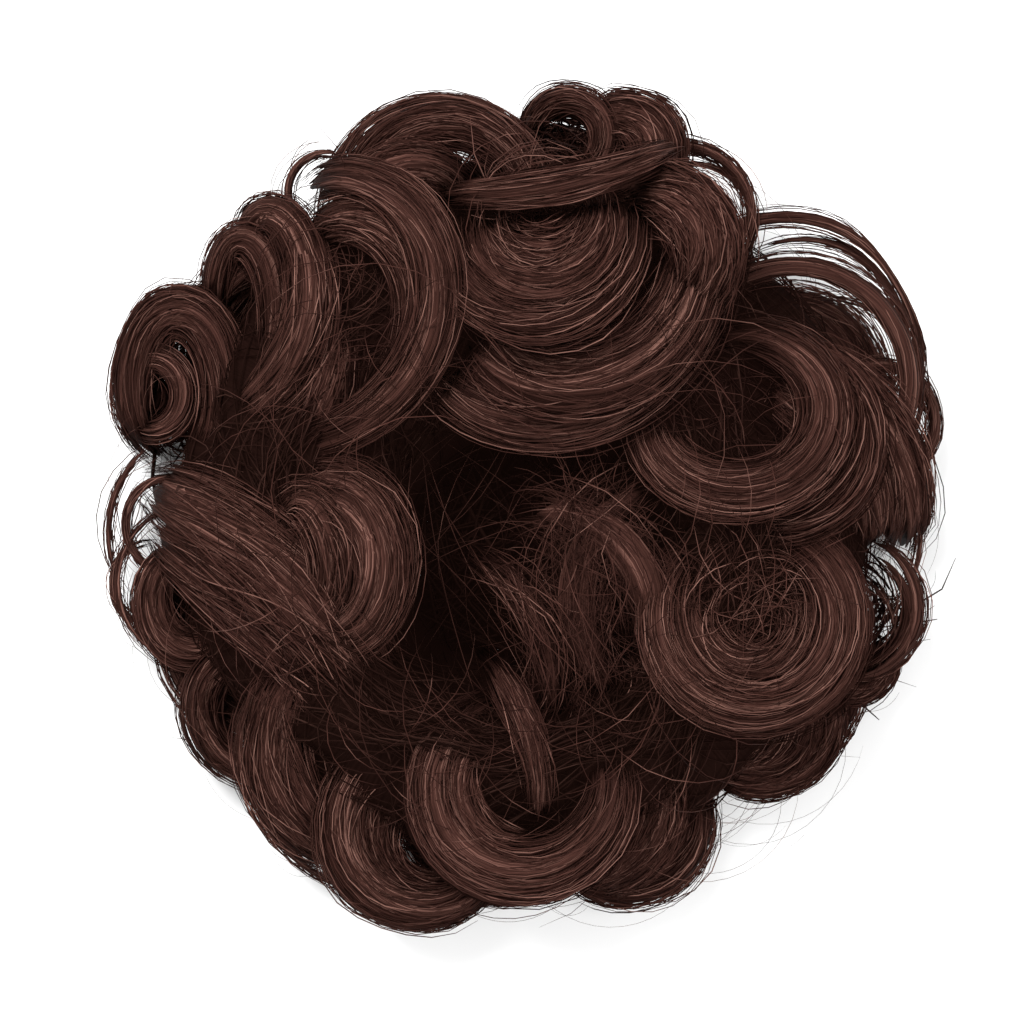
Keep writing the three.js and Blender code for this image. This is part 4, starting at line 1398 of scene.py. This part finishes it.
@dataclass
class ElasticBand:
    """The knitted elastic ring."""

    rings: int = 216
    sides: int = 14
    ribs: int = 54
    rib_height: float = 0.18 * MM

    def make(self) -> bpy.types.Object:
        """Makes the elastic's piece.

        Returns:
            The object.
        """
        turn = np.linspace(0, 2 * math.pi, self.rings, endpoint=False)
        side = np.linspace(0, 2 * math.pi, self.sides, endpoint=False)
        wave = 0.5 + 0.5 * np.cos(self.ribs * turn[:, None] + 2 * side[None, :])
        rib = self.rib_height * wave - self.rib_height
        out = SIZES.band_radius + (SIZES.band_width / 2 + rib) * np.cos(side)[None, :]
        up = SIZES.band_lift + SIZES.band_height / 2 + (SIZES.band_height / 2 + rib) * np.sin(side)[None, :]
        mesh = FibreMesh()
        mesh.skin(round_bun(out, turn[:, None], up)[::-1], 1.0, closed=True)
        return mesh.piece("elastic_band_knit", KNIT_ELASTIC, ("elastic_band",))


@dataclass
class WeftTrack:
    """The sewn track of hair roots on the elastic, with its rows of stitches."""

    rings: int = 180
    stitches: int = 110
    stitch_thickness: float = 0.35 * MM
    rows: tuple[float, ...] = (0.28, 0.72)

    def make(self) -> bpy.types.Object:
        """Makes the track's piece.

        Returns:
            The object.
        """
        inner = SIZES.bun_radius + SIZES.band_width / 4
        low = SIZES.band_lift + SIZES.band_height + SIZES.clearance
        turn = np.linspace(0, 2 * math.pi, self.rings, endpoint=False)
        share = np.array([0, 0.03, 0.5, 0.97, 1, 0.97, 0.5, 0.03])
        rise = np.array([0.5, 0, 0.1, 0, 0.5, 1, 0.9, 1])
        out = inner + SIZES.track_width * share[None, :] + 0.12 * MM * np.sin(60 * turn)[:, None]
        mesh = FibreMesh()
        mesh.skin(round_bun(out, turn[:, None], low + SIZES.track_thickness * rise), 1.0, closed=True)
        t = np.linspace(-0.5, 0.5, 6)[None, :]
        number = np.arange(self.stitches)
        slant = 0.5 * MM * np.where(number % 2, 1, -1)[:, None] * t
        for row in self.rows:
            angle = 2 * math.pi * (number[:, None] + 0.8 * t) / self.stitches
            reach = inner + SIZES.track_width * row + slant
            paths = round_bun(reach, angle, low - 0.02 * MM - 0.1 * MM * np.cos(math.pi * t))
            mesh.strands(paths, np.full(self.stitches, self.stitch_thickness), np.ones(self.stitches))
        return mesh.piece("weft_track_sewn", SEWN_THREAD, ("weft_track",))


# The studio


@dataclass
class Studio:
    """Plain pale floor, soft lights and the camera straight above."""

    photo_pixels: int = 1024
    hair_width_pixels: float = 844.0
    hair_middle: tuple[float, float] = (524.0, 512.5)
    lens: float = 150.0
    sensor: float = 36.0
    focus_height: float = 22 * MM
    floor_size: float = 3.0
    floor_colour: tuple[float, float, float] = (0.92, 0.92, 0.92)
    floor_roughness: float = 0.9
    sky_strength: float = 0.8

    def _camera(self) -> None:
        """Places the camera so that the hair fills the frame as it does in the photograph."""
        metres_to_pixel = 2 * SIZES.hair_radius / self.hair_width_pixels
        wide = self.photo_pixels * metres_to_pixel
        data = bpy.data.cameras.new("photo_camera")
        data.lens = self.lens
        data.sensor_width = self.sensor
        data.clip_start = 0.01
        camera = bpy.data.objects.new("photo_camera", data)
        shift = frame_shift()
        across = shift[0] + (self.photo_pixels / 2 - self.hair_middle[0]) * metres_to_pixel
        down = shift[1] + (self.hair_middle[1] - self.photo_pixels / 2) * metres_to_pixel
        camera.location = (across, down, self.focus_height + wide * self.lens / self.sensor)
        bpy.context.scene.collection.objects.link(camera)
        bpy.context.scene.camera = camera

    def _light(self, name: str, place: tuple[float, float, float], size: float, power: float) -> None:
        """A soft square light that faces the hair.

        Args:
            name: The light's name.
            place: Where it hangs.
            size: Its side.
            power: Its power in watts.
        """
        data = bpy.data.lights.new(name, "AREA")
        data.size = size
        data.energy = power
        light = bpy.data.objects.new(name, data)
        light.location = place
        light.rotation_mode = "QUATERNION"
        light.rotation_quaternion = (-Vector(place)).to_track_quat("-Z", "Y")
        bpy.context.scene.collection.objects.link(light)

    def _floor(self) -> None:
        """The pale floor."""
        half = self.floor_size / 2
        mesh = bpy.data.meshes.new("studio_floor")
        corners = [(-half, -half, 0), (half, -half, 0), (half, half, 0), (-half, half, 0)]
        mesh.from_pydata(corners, [], [(0, 1, 2, 3)])
        material = bpy.data.materials.new("pale_floor")
        material.use_nodes = True
        shader = material.node_tree.nodes["Principled BSDF"]
        shader.inputs["Base Color"].default_value = (*self.floor_colour, 1)
        shader.inputs["Roughness"].default_value = self.floor_roughness
        mesh.materials.append(material)
        floor = bpy.data.objects.new("studio_floor", mesh)
        bpy.context.scene.collection.objects.link(floor)

    def make(self) -> None:
        """Makes the whole studio."""
        world = bpy.data.worlds.new("studio_world")
        world.use_nodes = True
        sky = world.node_tree.nodes["Background"]
        sky.inputs["Color"].default_value = (1, 1, 1, 1)
        sky.inputs["Strength"].default_value = self.sky_strength
        bpy.context.scene.world = world
        bpy.context.scene.view_settings.view_transform = "Standard"
        self._camera()
        self._floor()
        self._light("key_light", (-0.3, 0.45, 0.85), size=0.45, power=14.0)
        self._light("fill_light", (0.6, -0.3, 0.8), size=0.7, power=7.0)


def main() -> None:
    """Builds the hairpiece and its studio, piece by piece."""
    logging.basicConfig(level=logging.INFO, format="%(name)s %(message)s")
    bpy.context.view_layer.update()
    Studio().make()
    ElasticBand().make()
    WeftTrack().make()
    UnderHair().make()
    UnderTresses().make(LOCKS)
    CurlInsides().make()
    BunOpeningHair().make()
    for number, lock in enumerate(LOCKS + rim_locks()):
        CurledLock(lock, number).make()
    LooseWisps().make()
    RimFlyaways().make()
    bpy.context.view_layer.update()


if __name__ == "__main__":
    main()
